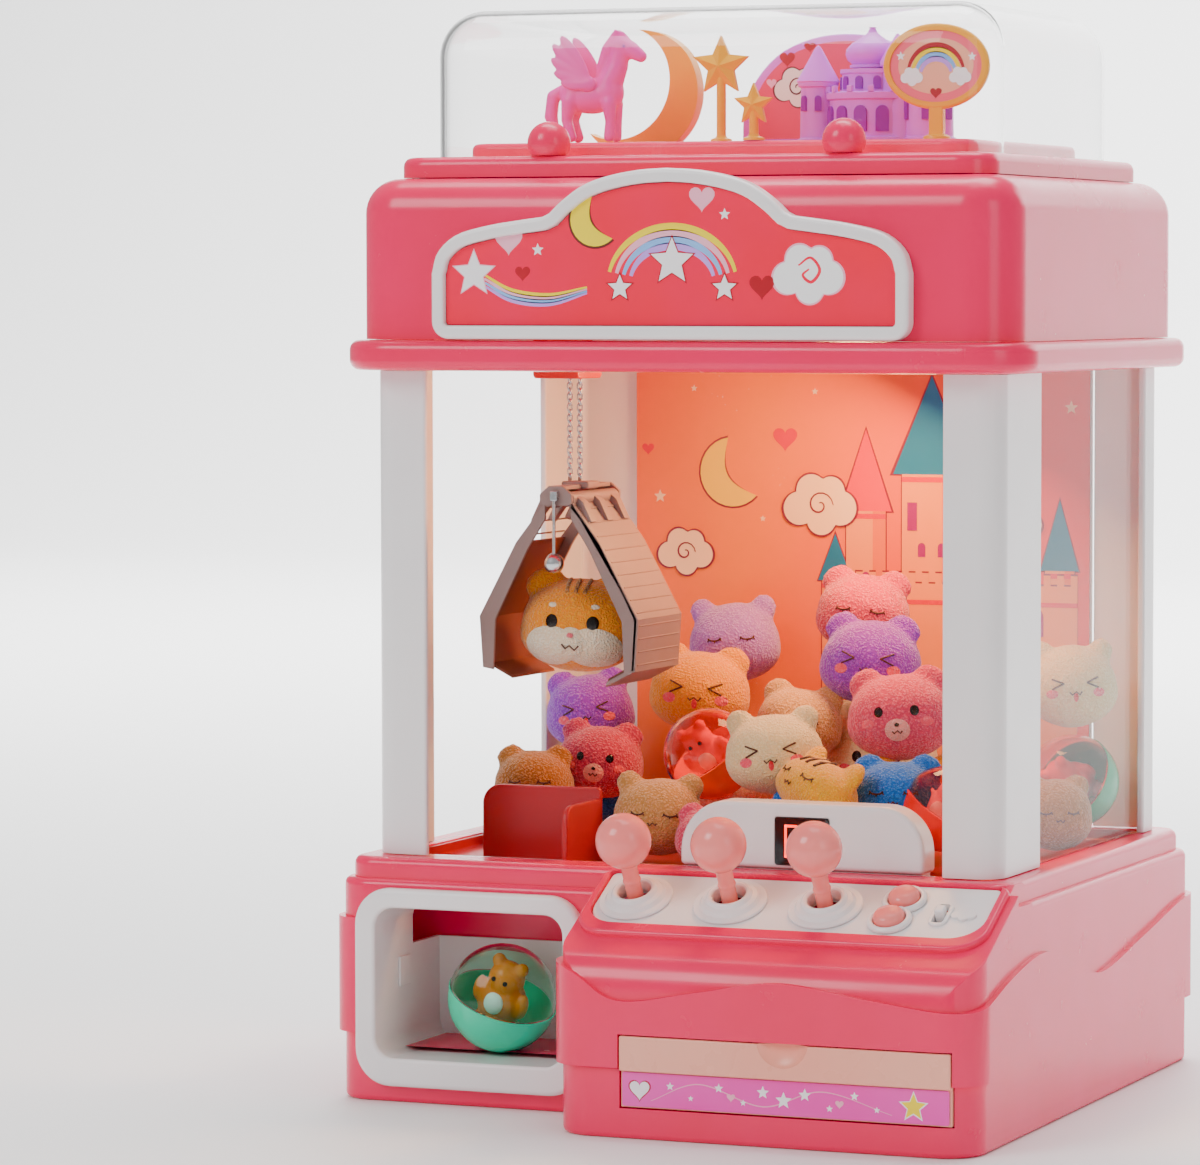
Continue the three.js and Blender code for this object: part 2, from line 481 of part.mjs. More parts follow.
// Each shell is a bent plate with side cheeks and a hinge barrel at its top.
function makeShell(side) {
  const outside = [[PIN_X, HUB_Z], [18.5, 223.4], [34.8, 193.5], [33.4, 172.6], [20.5, 166.2]];
  const inside = [[21, 168.9], [30.9, 174], [32.1, 193.1], [16.2, 224.2], [PIN_X + 0.4, HUB_Z - 2.4]];
  let plate = [...outside, ...inside].map(([x, z]) => [CLAW_X + side * x, z]);
  if (side > 0) plate = plate.reverse();
  const [y0, y1] = [CLAW_Y - CLAW_DEPTH / 2, CLAW_Y + CLAW_DEPTH / 2];
  const barrel = rod(3, CLAW_DEPTH, 14).translate(CLAW_X + side * PIN_X, CLAW_Y, HUB_Z);
  const bore = rod(1.5, CLAW_DEPTH + 4, 12).translate(CLAW_X + side * PIN_X, CLAW_Y, HUB_Z);
  const cheek = (y) => {
    let points = [[PIN_X + 1, HUB_Z - 1], [18.5, 223.4], [34.8, 193.5], [33.4, 172.6], [28.5, 172], [27.6, 192.4],
      [13.5, 220.5], [5, 233]].map(([x, z]) => [CLAW_X + side * x, z]);
    if (side > 0) points = points.reverse();
    return prismY(points, y, y + 1.6);
  };
  return cut(join(prismY(plate, y0, y1), barrel, cheek(y0), cheek(y1 - 1.6)), bore);
}
add('claw_shell_left', makeShell(-1), TAUPE);
add('claw_shell_right', makeShell(1), TAUPE);
const WEIGHT_Y = CLAW_Y - CLAW_DEPTH / 2 - 2.6;
add('claw_weight', join(
  ball(CLAW_X, WEIGHT_Y - 1.2, 215.5, 4.1, 4.1, 4.1, 12, 8),
  rod(0.7, 28, 8).rotateX(Math.PI / 2).translate(CLAW_X, WEIGHT_Y - 1.2, 230),
  block(CLAW_X - 1.5, CLAW_X + 1.5, WEIGHT_Y - 2, WEIGHT_Y - 0.1, 240.5, 244.4)), STEEL);

function makeHeldPlush() {
  const [x, y] = [CLAW_X, CLAW_Y];
  return join(ball(x, y, 190, 25, 19.5, 21, 14, 9),
    ball(x - 16, y - 3, 206, 5.5, 5, 7, 8, 5), ball(x + 15, y - 3, 206.5, 5, 5, 6.5, 8, 5));
}
add('held_plush', makeHeldPlush(), plush('#f2a53a'));

// ---------------------------------------------------------------- prizes
// One capsule lies in the bay: a coloured cup below, a clear lid above, tilted to the right.
const capsule = { x: -81.4, y: -93, z: 40.6, radius: 22 };
function halfShell(from, to) {
  const [r, t] = [capsule.radius, 1.4];
  const arc = (radius, a0, a1) => Array.from({ length: 6 }, (_, k) => {
    const a = a0 + ((a1 - a0) * k) / 5;
    return [Math.max(0, radius * Math.cos(a)), radius * Math.sin(a)];
  });
  const profile = [...arc(r, from, to), ...arc(r - t, to, from)];
  const closed = [...profile, profile[0]];
  return turned(from < to ? closed : closed.reverse(), 18);
}
const placeCapsule = (geometry) => geometry.rotateY(0.38).rotateX(0.2).translate(capsule.x, capsule.y, capsule.z);
add('bay_capsule_cup', cut(solid(placeCapsule(halfShell(-Math.PI / 2, -0.01)))), TEAL);
add('bay_capsule_lid', cut(solid(placeCapsule(halfShell(0.01, Math.PI / 2)))), clear('#7fe8cf', 0.35));

// The prizes in the bed are soft heads and capsules heaped together, in four heaps.
const heap = (balls, grow = 0) =>
  join(...balls.map(([x, y, z, rx, ry, rz]) => ball(x, y, z, rx + grow, ry + grow, rz + grow, 9, 6)));
add('prizes_left', heap([
  [-106.5, 55, 144.4, 19.5, 18, 19], [-87, 20, 126.5, 20, 18, 19], [-110, 5, 113, 16, 17, 18], [-98, 46, 114, 21, 22, 20],
]), plush('#b98bd0'));
const MIDDLE_HEAP = [
  [-51.5, 45, 155.4, 22, 18, 21], [-48, 76, 174.5, 20, 17.5, 21], [13.5, -35, 139, 20, 18, 21], [-36, 5, 128, 19, 19, 19],
  [-30.4, -52, 112.3, 18.5, 17, 18.6], [42, -60, 127, 25, 15, 14], [-46, 66, 130, 24, 27, 35], [-5, -20, 115, 26, 30, 21],
  [24, -48, 111, 30, 21, 17], [-20, 0, 111, 34, 62, 17],
];
const RIGHT_HEAP = [
  [15, 62, 189, 20, 18, 19], [30, 30, 171, 21, 17, 20], [54.7, 0, 151.5, 22, 19, 21], [70, -46, 125, 20, 16, 15],
  [87, -52, 121.5, 17, 17, 17], [31, 46, 140, 26, 29, 44], [62, -10, 116, 24, 26, 22], [50, 10, 112, 32, 46, 18],
];
add('prizes_middle', heap(MIDDLE_HEAP), plush('#f3d9a0'));
add('prizes_right', cut(heap(RIGHT_HEAP), heap(MIDDLE_HEAP, GAP)), plush('#e2839a'));
add('prizes_side', heap([
  [107, 64, 160.9, 19.5, 17, 21], [107, 64, 121, 19.5, 19.5, 23], [110, 32, 111, 16.5, 17, 18],
]), plush('#f4e7cf'));

export default machine;
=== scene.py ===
"""The claw crane machine's looks: moulded toy plastic, clear windows, printed boards and soft prizes.

Lengths are in millimetres in the tower's own frame, which lies TOWER mm behind the part's origin,
until seat() puts a finished piece in metres in the part's frame.
"""
import math

import bmesh
import bpy
from mathutils import Matrix, Vector, noise


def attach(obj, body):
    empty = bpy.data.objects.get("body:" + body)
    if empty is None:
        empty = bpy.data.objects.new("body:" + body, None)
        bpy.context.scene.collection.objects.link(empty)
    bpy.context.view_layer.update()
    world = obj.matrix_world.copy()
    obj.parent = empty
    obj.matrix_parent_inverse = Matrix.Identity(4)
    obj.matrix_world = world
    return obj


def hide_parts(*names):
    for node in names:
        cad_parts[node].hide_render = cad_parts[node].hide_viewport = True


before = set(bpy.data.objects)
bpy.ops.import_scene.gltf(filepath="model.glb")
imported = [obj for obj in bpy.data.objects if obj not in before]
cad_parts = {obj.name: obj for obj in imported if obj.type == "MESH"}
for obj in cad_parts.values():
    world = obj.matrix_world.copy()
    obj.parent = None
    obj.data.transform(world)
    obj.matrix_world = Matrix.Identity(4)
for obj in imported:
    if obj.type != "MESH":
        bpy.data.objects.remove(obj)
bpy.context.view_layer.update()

TOWER = 24.25
TO_PART = Matrix.Scale(0.001, 4) @ Matrix.Translation((0, TOWER, 0))
TILT = math.radians(27.9)
PANEL_AT = Matrix.Translation((56.75, -128.6, 87.55)) @ Matrix.Rotation(TILT, 4, "X")


# ---------------------------------------------------------------- workbench
def pick(obj):
    bpy.ops.object.select_all(action="DESELECT")
    obj.select_set(True)
    bpy.context.view_layer.objects.active = obj


def edit(obj):
    pick(obj)
    bpy.ops.object.mode_set(mode="EDIT")
    bpy.ops.mesh.select_mode(type="VERT")


def leave():
    bpy.ops.object.mode_set(mode="OBJECT")


def choose(obj, kind, test):
    """In edit mode, selects the verts, edges or faces that pass a test."""
    bpy.ops.mesh.select_mode(type={"verts": "VERT", "edges": "EDGE", "faces": "FACE"}[kind])
    bpy.ops.mesh.select_all(action="DESELECT")
    mesh = bmesh.from_edit_mesh(obj.data)
    mesh.normal_update()
    found = 0
    for item in getattr(mesh, kind):
        if test(item):
            item.select_set(True)
            found += 1
    mesh.select_flush_mode()
    bmesh.update_edit_mesh(obj.data)
    return found


def set_matrix(obj, matrix):
    pick(obj)
    obj.matrix_world = matrix
    bpy.ops.object.transform_apply(location=True, rotation=True, scale=True)
    return obj


def primitive(kind, name, **facts):
    bpy.ops.object.select_all(action="DESELECT")
    getattr(bpy.ops.mesh, "primitive_" + kind + "_add")(**facts)
    obj = bpy.context.active_object
    obj.name = name
    bpy.ops.object.transform_apply(location=True, rotation=True, scale=True)
    return obj


def walk(name, points, closed=True):
    """A ring with a point for every place along a line, moved onto the line and filled where it closes."""
    obj = primitive("circle", name, vertices=len(points), radius=1)
    edit(obj)
    mesh = bmesh.from_edit_mesh(obj.data)
    mesh.verts.ensure_lookup_table()
    for vert, point in zip(mesh.verts, points):
        vert.co = point
    bmesh.update_edit_mesh(obj.data)
    if closed:
        bpy.ops.mesh.select_all(action="SELECT")
        bpy.ops.mesh.edge_face_add()
    else:
        last = len(points) - 1
        choose(obj, "edges", lambda e: {v.index for v in e.verts} == {0, last})
        bpy.ops.mesh.delete(type="EDGE_FACE")
    leave()
    return obj


UP = {
    "x": lambda p, d: (d, p[0], p[1]),
    "y": lambda p, d: (p[0], d, p[1]),
    "z": lambda p, d: (p[0], p[1], d),
}


def slab(name, outline, low, high, along="z", edge=0.0, rounds=4, ends="both"):
    """An outline drawn out between two heights, its end rims rounded by edge."""
    index = "xyz".index(along)
    obj = walk(name, [UP[along](p, low) for p in outline])
    edit(obj)
    bpy.ops.mesh.select_all(action="SELECT")
    move = [0, 0, 0]
    move[index] = high - low
    bpy.ops.mesh.extrude_region_move(TRANSFORM_OT_translate={"value": move})
    bpy.ops.mesh.select_all(action="SELECT")
    bpy.ops.mesh.normals_make_consistent(inside=False)
    if edge:
        levels = {"both": (low, high), "low": (low,), "high": (high,)}[ends]
        choose(obj, "edges", lambda e: any(
            all(abs(v.co[index] - level) < 1e-3 for v in e.verts) for level in levels))
        bpy.ops.mesh.bevel(offset=edge, segments=rounds, profile=0.5, affect="EDGES", clamp_overlap=True)
    leave()
    return obj


def block(name, x0, x1, y0, y1, z0, z1, edge=0.0, rounds=3):
    obj = primitive("cube", name, size=1, location=((x0 + x1) / 2, (y0 + y1) / 2, (z0 + z1) / 2),
                    scale=(x1 - x0, y1 - y0, z1 - z0))
    if edge:
        edit(obj)
        bpy.ops.mesh.select_all(action="SELECT")
        bpy.ops.mesh.bevel(offset=edge, segments=rounds, affect="EDGES", clamp_overlap=True)
        leave()
    return obj


def turned(name, profile, centre=(0, 0, 0), steps=40, matrix=None):
    """A profile of radius and height, spun round +Z, then turned into place."""
    obj = walk(name, [(r, 0, z) for r, z in profile], closed=False)
    edit(obj)
    bpy.ops.mesh.select_all(action="SELECT")
    bpy.ops.mesh.spin(steps=steps, angle=math.tau, center=(0, 0, 0), axis=(0, 0, 1))
    bpy.ops.mesh.select_all(action="SELECT")
    bpy.ops.mesh.remove_doubles(threshold=0.002)
    bpy.ops.mesh.select_all(action="SELECT")
    bpy.ops.mesh.normals_make_consistent(inside=False)
    leave()
    return set_matrix(obj, Matrix.Translation(centre) @ (matrix or Matrix.Identity(4)))


def globe(name, centre, radii, around=32, up=20):
    if not hasattr(radii, "__len__"):
        radii = (radii,) * 3
    return primitive("uv_sphere", name, segments=around, ring_count=up, radius=1, location=centre,
            scale=radii)


def rod(name, start, end, radius, around=20, edge=0.0):
    start, end = Vector(start), Vector(end)
    turn = (end - start).to_track_quat("Z", "Y").to_matrix().to_4x4()
    obj = primitive("cylinder", name, vertices=around, radius=radius, depth=(end - start).length)
    if edge:
        edit(obj)
        choose(obj, "edges", lambda e: abs(e.verts[0].co.z - e.verts[1].co.z) < 1e-6)
        bpy.ops.mesh.bevel(offset=edge, segments=3, affect="EDGES")
        leave()
    return set_matrix(obj, Matrix.Translation((start + end) / 2) @ turn)


def modify(obj, kind, **facts):
    pick(obj)
    modifier = obj.modifiers.new(kind.title(), kind)
    for key, value in facts.items():
        setattr(modifier, key, value)
    bpy.ops.object.modifier_apply(modifier=modifier.name)
    return obj


def scrap(*objs):
    for obj in objs:
        bpy.data.objects.remove(obj, do_unlink=True)


def boolean(obj, tools, operation):
    for tool in tools:
        modify(obj, "BOOLEAN", operation=operation, solver="EXACT", object=tool)
        scrap(tool)
    return obj


def cut(obj, *tools):
    return boolean(obj, tools, "DIFFERENCE")


def fuse(obj, *tools):
    return boolean(obj, tools, "UNION")


def keep(obj, *tools):
    return boolean(obj, tools, "INTERSECT")


def together(name, pieces):
    """Pieces glued side by side into one mesh, each with its own material."""
    bpy.ops.object.select_all(action="DESELECT")
    for piece in pieces:
        piece.select_set(True)
    bpy.context.view_layer.objects.active = pieces[0]
    if len(pieces) > 1:
        bpy.ops.object.join()
    pieces[0].name = name
    return pieces[0]


def copy_of(obj, name, matrix=None):
    twin = obj.copy()
    twin.data = obj.data.copy()
    twin.name = name
    bpy.context.collection.objects.link(twin)
    return set_matrix(twin, matrix) if matrix else twin


def paint(obj, material):
    obj.data.materials.clear()
    obj.data.materials.append(material)
    return obj


def smooth(obj, angle=32):
    pick(obj)
    bpy.ops.object.shade_smooth_by_angle(angle=math.radians(angle), keep_sharp_edges=False)
    return obj


def tidy(obj):
    edit(obj)
    bpy.ops.mesh.select_all(action="SELECT")
    bpy.ops.mesh.remove_doubles(threshold=0.004)
    bpy.ops.mesh.select_all(action="SELECT")
    bpy.ops.mesh.normals_make_consistent(inside=False)
    leave()
    return obj


def seat(obj, body, replaces=(), material=None, angle=32):
    """Puts a finished piece in metres in the part's frame and on the body that carries it."""
    if material:
        paint(obj, material)
    set_matrix(obj, TO_PART @ obj.matrix_world)
    smooth(obj, angle)
    modify(obj, "WEIGHTED_NORMAL", weight=80, keep_sharp=True)
    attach(obj, body)
    if replaces:
        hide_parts(*([replaces] if isinstance(replaces, str) else replaces))
    return obj


def rectangle(x0, x1, y0, y1):
    return [(x0, y0), (x1, y0), (x1, y1), (x0, y1)]


def rounded(points, radii, steps=7):
    """A closed outline with a round at every corner; radii is one number or one for each."""
    outline = []
    for i, point in enumerate(points):
        radius = radii[i] if hasattr(radii, "__len__") else radii
        corner = Vector(point)
        if not radius:
            outline.append(tuple(corner))
            continue
        before = (Vector(points[i - 1]) - corner).normalized()
        after = (Vector(points[(i + 1) % len(points)]) - corner).normalized()
        half = math.acos(max(-1, min(1, before.dot(after)))) / 2
        centre = corner + (before + after).normalized() * (radius / math.sin(half))
        start = corner + before * (radius / math.tan(half)) - centre
        cross = before.x * after.y - before.y * after.x
        turn = (-1 if cross > 0 else 1) * (math.pi - 2 * half)
        for k in range(steps + 1):
            a = turn * k / steps
            outline.append((centre.x + start.x * math.cos(a) - start.y * math.sin(a),
                            centre.y + start.x * math.sin(a) + start.y * math.cos(a)))
    return outline


def curve_through(knots, count):
    """Points on a smooth curve through some knots."""
    knots = [Vector(k) for k in knots]
    ends = [knots[0] * 2 - knots[1]] + knots + [knots[-1] * 2 - knots[-2]]
    points = []
    spans = len(knots) - 1
    for k in range(count + 1):
        t = k / count * spans
        i = min(int(t), spans - 1)
        t -= i
        a, b, c, d = ends[i:i + 4]
        points.append(tuple((b * 2 + (c - a) * t + (a * 2 - b * 5 + c * 4 - d) * t * t
                             + (b * 3 - a - c * 3 + d) * t ** 3) / 2))
    return points


# ---------------------------------------------------------------- finishes
def group(name, inputs, outputs):
    tree = bpy.data.node_groups.new(name, "ShaderNodeTree")
    for label, kind, value in inputs:
        socket = tree.interface.new_socket(name=label, in_out="INPUT", socket_type=kind)
        socket.default_value = value
    for label, kind in outputs:
        tree.interface.new_socket(name=label, in_out="OUTPUT", socket_type=kind)
    return tree, tree.nodes.new("NodeGroupInput"), tree.nodes.new("NodeGroupOutput")


def node(tree, kind, **facts):
    made = tree.nodes.new("ShaderNode" + kind)
    for key, value in facts.items():
        if key in made.inputs:
            made.inputs[key].default_value = value
        else:
            setattr(made, key, value)
    return made


def noise_texture(tree, vector, scale, detail=3.0, rough=0.5):
    made = node(tree, "TexNoise")
    made.inputs["Detail"].default_value = detail
    made.inputs["Roughness"].default_value = rough
    tree.links.new(vector, made.inputs["Vector"])
    if hasattr(scale, "is_output"):
        tree.links.new(scale, made.inputs["Scale"])
    else:
        made.inputs["Scale"].default_value = scale
    return made


def stretch(tree, value, low, high, to_low=0.0, to_high=1.0):
    made = node(tree, "MapRange", clamp=True)
    for key, number in (("From Min", low), ("From Max", high), ("To Min", to_low), ("To Max", to_high)):
        if hasattr(number, "is_output"):
            tree.links.new(number, made.inputs[key])
        else:
            made.inputs[key].default_value = number
    tree.links.new(value, made.inputs["Value"])
    return made.outputs["Result"]


def mix(tree, amount, first, second):
    made = node(tree, "Mix", data_type="RGBA")
    for key, value in ((0, amount), (6, first), (7, second)):
        if hasattr(value, "is_output"):
            tree.links.new(value, made.inputs[key])
        else:
            made.inputs[key].default_value = value
    return made.outputs[2]


def make_moulded_skin():
    """Injection-moulded plastic: faint flow mottling, a fine satin grain and uneven polish."""
    tree, given, put = group("Moulded skin", [
        ("Colour", "NodeSocketColor", (1, 1, 1, 1)), ("Flow colour", "NodeSocketColor", (1, 1, 1, 1)),
        ("Flow scale", "NodeSocketFloat", 22.0), ("Polish", "NodeSocketFloat", 0.25),
        ("Polish spread", "NodeSocketFloat", 0.08), ("Grain", "NodeSocketFloat", 0.12)],
        [("Colour", "NodeSocketColor"), ("Roughness", "NodeSocketFloat"), ("Normal", "NodeSocketVector")])
    where = node(tree, "TexCoord").outputs["Object"]
    flow = noise_texture(tree, where, given.outputs["Flow scale"], 2.0)
    amount = stretch(tree, flow.outputs["Fac"], 0.35, 0.75)
    tree.links.new(mix(tree, amount, given.outputs["Colour"], given.outputs["Flow colour"]),
            put.inputs["Colour"])
    handled = noise_texture(tree, where, 55.0, 4.0, 0.6)
    spread = node(tree, "Math", operation="MULTIPLY_ADD")
    tree.links.new(stretch(tree, handled.outputs["Fac"], 0.3, 0.7, -0.5, 0.5), spread.inputs[0])
    tree.links.new(given.outputs["Polish spread"], spread.inputs[1])
    tree.links.new(given.outputs["Polish"], spread.inputs[2])
    tree.links.new(spread.outputs[0], put.inputs["Roughness"])
    grain = noise_texture(tree, where, 1500.0, 2.0)
    ripple = noise_texture(tree, where, 140.0, 1.0)
    height = node(tree, "Math", operation="MULTIPLY_ADD")
    tree.links.new(ripple.outputs["Fac"], height.inputs[0])
    height.inputs[1].default_value = 0.5
    tree.links.new(grain.outputs["Fac"], height.inputs[2])
    bump = node(tree, "Bump")
    bump.inputs["Distance"].default_value = 0.00012
    tree.links.new(given.outputs["Grain"], bump.inputs["Strength"])
    tree.links.new(height.outputs[0], bump.inputs["Height"])
    tree.links.new(bump.outputs["Normal"], put.inputs["Normal"])
    return tree


def make_terry_loops():
    """Short looped pile: bright loop tips over a darker ground colour that is painted shade between the
    loops, with patches where more of that painted shade shows.
    """
    tree, given, put = group("Terry loops", [
        ("Colour", "NodeSocketColor", (1, 1, 1, 1)), ("Ground", "NodeSocketColor", (0.5, 0.5, 0.5, 1)),
        ("Loop scale", "NodeSocketFloat", 700.0)],
        [("Colour", "NodeSocketColor"), ("Roughness", "NodeSocketFloat"), ("Normal", "NodeSocketVector")])
    where = node(tree, "TexCoord").outputs["Object"]
    comb = noise_texture(tree, where, 130.0, 2.0)
    drift = node(tree, "VectorMath", operation="MULTIPLY_ADD")
    tree.links.new(comb.outputs["Color"], drift.inputs[0])
    drift.inputs[1].default_value = (0.004, 0.004, 0.004)
    tree.links.new(where, drift.inputs[2])
    loops = node(tree, "TexVoronoi", feature="SMOOTH_F1")
    loops.inputs["Smoothness"].default_value = 0.35
    tree.links.new(drift.outputs[0], loops.inputs["Vector"])
    tree.links.new(given.outputs["Loop scale"], loops.inputs["Scale"])
    tips = stretch(tree, loops.outputs["Distance"], 0.1, 0.62, 1.0, 0.0)
    patches = stretch(tree, noise_texture(tree, where, 60.0, 3.0).outputs["Fac"], 0.3, 0.7, 0.75, 1.0)
    shade = node(tree, "Math", operation="MULTIPLY")
    tree.links.new(tips, shade.inputs[0])
    tree.links.new(patches, shade.inputs[1])
    # The colour runs from the darker ground colour, painted shade between the loops, up to the bright tip
    # colour.
    tree.links.new(mix(tree, shade.outputs[0], given.outputs["Ground"], given.outputs["Colour"]),
            put.inputs["Colour"])
    tree.links.new(stretch(tree, tips, 0.0, 1.0, 1.0, 0.85), put.inputs["Roughness"])
    bump = node(tree, "Bump")
    bump.inputs["Distance"].default_value = 0.0006
    bump.inputs["Strength"].default_value = 0.8
    tree.links.new(tips, bump.inputs["Height"])
    tree.links.new(bump.outputs["Normal"], put.inputs["Normal"])
    return tree


MOULDED = make_moulded_skin()
TERRY = make_terry_loops()


VIVID = 1.22


def colour(text, alpha=1.0):
    """A hex colour as linear light."""
    parts = [int(text[i:i + 2], 16) / 255 for i in (1, 3, 5)]
    light = [c / 12.92 if c <= 0.04045 else ((c + 0.055) / 1.055) ** 2.4 for c in parts]
    grey = sum(light) / 3
    return tuple(min(1.0, max(0.0, grey + (c - grey) * VIVID)) for c in light) + (alpha,)


def new_material(name, **shader):
    material = bpy.data.materials.new(name)
    material.use_nodes = True
    surface = material.node_tree.nodes["Principled BSDF"]
    for key, value in shader.items():
        surface.inputs[key.replace("_", " ")].default_value = value
    return material, material.node_tree, surface


def place_group(tree, source, surface, **values):
    placed = tree.nodes.new("ShaderNodeGroup")
    placed.node_tree = source
    for key, value in values.items():
        placed.inputs[key.replace("_", " ")].default_value = value
    tree.links.new(placed.outputs["Colour"], surface.inputs["Base Color"])
    tree.links.new(placed.outputs["Roughness"], surface.inputs["Roughness"])
    tree.links.new(placed.outputs["Normal"], surface.inputs["Normal"])
    return placed


def plastic(name, tint, flow=None, polish=0.24, spread=0.08, grain=0.12, **shader):
    shader = {"Specular_IOR_Level": 0.38, "Coat_Weight": 0.1, "Coat_Roughness": 0.08, **shader}
    material, tree, surface = new_material(name, **shader)
    place_group(tree, MOULDED, surface, Colour=colour(tint), Flow_colour=colour(flow or tint),
                Polish=polish, Polish_spread=spread, Grain=grain)
    return material


def terry(name, tint, ground, scale=1050.0):
    material, tree, surface = new_material(name, Sheen_Weight=0.45, Sheen_Roughness=0.5,
            Specular_IOR_Level=0.2)
    # ground is the darker colour painted between the loops as shade.
    place_group(tree, TERRY, surface, Colour=colour(tint), Ground=colour(ground), Loop_scale=scale)
    return material


def clear_plastic(name, tint, roughness=0.02, ior=1.45):
    """Clear moulding that lets lamp light straight through."""
    material, tree, surface = new_material(
        name, Base_Color=tint, Roughness=roughness, IOR=ior, Transmission_Weight=1.0)
    scuffs = noise_texture(tree, node(tree, "TexCoord").outputs["Object"], 40.0, 3.0)
    tree.links.new(stretch(tree, scuffs.outputs["Fac"], 0.35, 0.75, roughness, roughness + 0.03),
                   surface.inputs["Roughness"])
    path = node(tree, "LightPath")
    through = node(tree, "BsdfTransparent")
    through.inputs["Color"].default_value = tuple(0.25 * c + 0.75 for c in tint[:3]) + (1,)
    blend = node(tree, "MixShader")
    tree.links.new(path.outputs["Is Shadow Ray"], blend.inputs[0])
    tree.links.new(surface.outputs[0], blend.inputs[1])
    tree.links.new(through.outputs[0], blend.inputs[2])
    tree.links.new(blend.outputs[0], tree.nodes["Material Output"].inputs["Surface"])
    return material


PINK = plastic("Body pink", "#ea3f66", "#ee486d", polish=0.24)
DEEP_PINK = plastic("Sign pink", "#ff2f5c", "#ff3a66", polish=0.22)
DARK_RED = plastic("Bed red", "#a81c30", "#b42338", polish=0.34)
WHITE = plastic("White moulding", "#f1edee", "#f6f3f3", polish=0.22)
SALMON = plastic("Lever salmon", "#ff8f8c", "#ff9a94", polish=0.16, Subsurface_Weight=0.1)
PEACH = plastic("Drawer peach", "#ffae9c", "#ffb8a6", polish=0.28)
LABEL = plastic("Label print pink", "#f05cb4", "#ee70c0", polish=0.36, grain=0.05)
LILAC = plastic("Castle lilac", "#dc7fe6", "#e290ea", polish=0.36, Subsurface_Weight=0.1)
PURPLE = plastic("Castle window purple", "#8b2da0", "#983cab", polish=0.4)
PONY_PINK = plastic("Pony pink", "#f263b4", "#f670bc", polish=0.36, Subsurface_Weight=0.1)
GOLD = plastic("Scene gold", "#f4ab1e", "#f8b832", polish=0.34)
CREAM = plastic("Print cream", "#fff6df", "#fffbe9", polish=0.4)
TAUPE = plastic("Claw taupe", "#8d7672", "#98807a", polish=0.46, grain=0.2, Coat_Weight=0.05)
BROWN = plastic("Claw brown", "#6a3c30", "#744438", polish=0.5, grain=0.2, Coat_Weight=0.05)
TRAVEL_RED = plastic("Trolley red", "#cf1f33", "#d92a3d", polish=0.3)
TEAL = plastic("Capsule teal", "#12cfa6", "#22d8b0", polish=0.12)
SMOKE = plastic("Display black", "#150d10", "#1d1216", polish=0.08, grain=0.02)
CLEAR = clear_plastic("Clear window", (0.985, 0.985, 0.985, 1), 0.0, 1.08)
DOME_CLEAR = clear_plastic("Clear dome", (0.985, 0.985, 0.985, 1), 0.01, 1.35)
GREEN_CLEAR = clear_plastic("Clear green", (0.68, 0.97, 0.84, 1), 0.01, 1.3)
RED_CLEAR = clear_plastic("Clear red", (1.0, 0.36, 0.28, 1), 0.02, 1.4)


def metal(name, tint, roughness):
    material, tree, surface = new_material(name, Metallic=1.0, Base_Color=colour(tint))
    where = node(tree, "TexCoord").outputs["Object"]
    swirl = noise_texture(tree, where, 300.0, 4.0)
    tree.links.new(stretch(tree, swirl.outputs["Fac"], 0.3, 0.7, roughness, roughness + 0.15),
            surface.inputs["Roughness"])
    return material


STEEL = metal("Bright steel", "#d9dadd", 0.14)


# ---------------------------------------------------------------- base
BODY_X, BODY_Y, SEAM_Z, SILL_Z, GAP = 144.2, 118.0, 27.4, 97.9, 0.3
LEFT, FRONT = -28.2, -166.5


def footprint(grow, steps=9):
    x, y, left, front = BODY_X + grow, BODY_Y + grow, LEFT - grow, FRONT - grow
    return rounded([(-x, y), (-x, -y), (left, -y), (left, front), (x, front), (x, y)],
                   [14, 14, 4, 16, 16, 14], steps)


def bay_outline(grow, radius, steps=7):
    return rounded(rectangle(-124.3 - grow, -42.7 + grow, 18.2 - grow, 78.5 + grow), radius, steps)


def panel_outline(grow, steps=8):
    return rounded(rectangle(-80.75 - grow, 80.75 + grow, -17.65 - grow, 17.65 + grow), [13, 13, 2.5, 2.5],
            steps)


def drawer_hole(low, high):
    return block("drawer hole", 0.8, 136, -172, -160, low, high)


def make_base_tray():
    tray = slab("bottom_tray", footprint(0), 0, SEAM_Z - GAP, edge=2.2, ends="low")
    edit(tray)
    choose(tray, "edges", lambda e: all(abs(v.co.z - SEAM_Z + GAP) < 1e-3 for v in e.verts))
    bpy.ops.mesh.bevel(offset=0.5, segments=2, affect="EDGES")
    leave()
    cut(tray, slab("hollow", footprint(-3, 5), 3, 40), slab("bay hole", bay_outline(2.6, 10), -124, -100,
            "y"),
        drawer_hole(11.8, 41))
    feet = [turned("foot", [(0, 0.02), (7, 0.02), (7.6, 0.5), (0, 0.5)], (x, y, 0), 24)
            for x, y in ((-118, 92), (118, 92), (-112, -96), (118, -142))]
    runners = [block("runner", x, x + 4, -162, -70, 2, 12.7, 0.5) for x in (14, 116)]
    tray = together("bottom_tray", [tidy(tray), *runners, *feet])
    return seat(tray, "cabinet", "base_tray", PINK)


def console_section(inset):
    return rounded([(-98, SEAM_Z - inset * 3), (FRONT + inset, SEAM_Z - inset * 3),
            (FRONT + inset, 66.3 - inset),
                    (-108, 97.3 - inset * 1.5), (-98, 97.3 - inset * 1.5)], [0, 0, 16 - inset, 0, 0], 9)


FRONT_WAVE = [(-60, 73), (-21, 64.4), (0, 53.4), (33, 58), (65, 63.1), (100, 59), (133, 55.2), (160, 56)]
SIDE_WAVE = [(-180, 55), (-160, 55.6), (-122.6, 64.9), (-85, 69.2), (-50, 61), (-15, 52.7), (40, 60.5),
             (97, 69.7), (130, 71)]


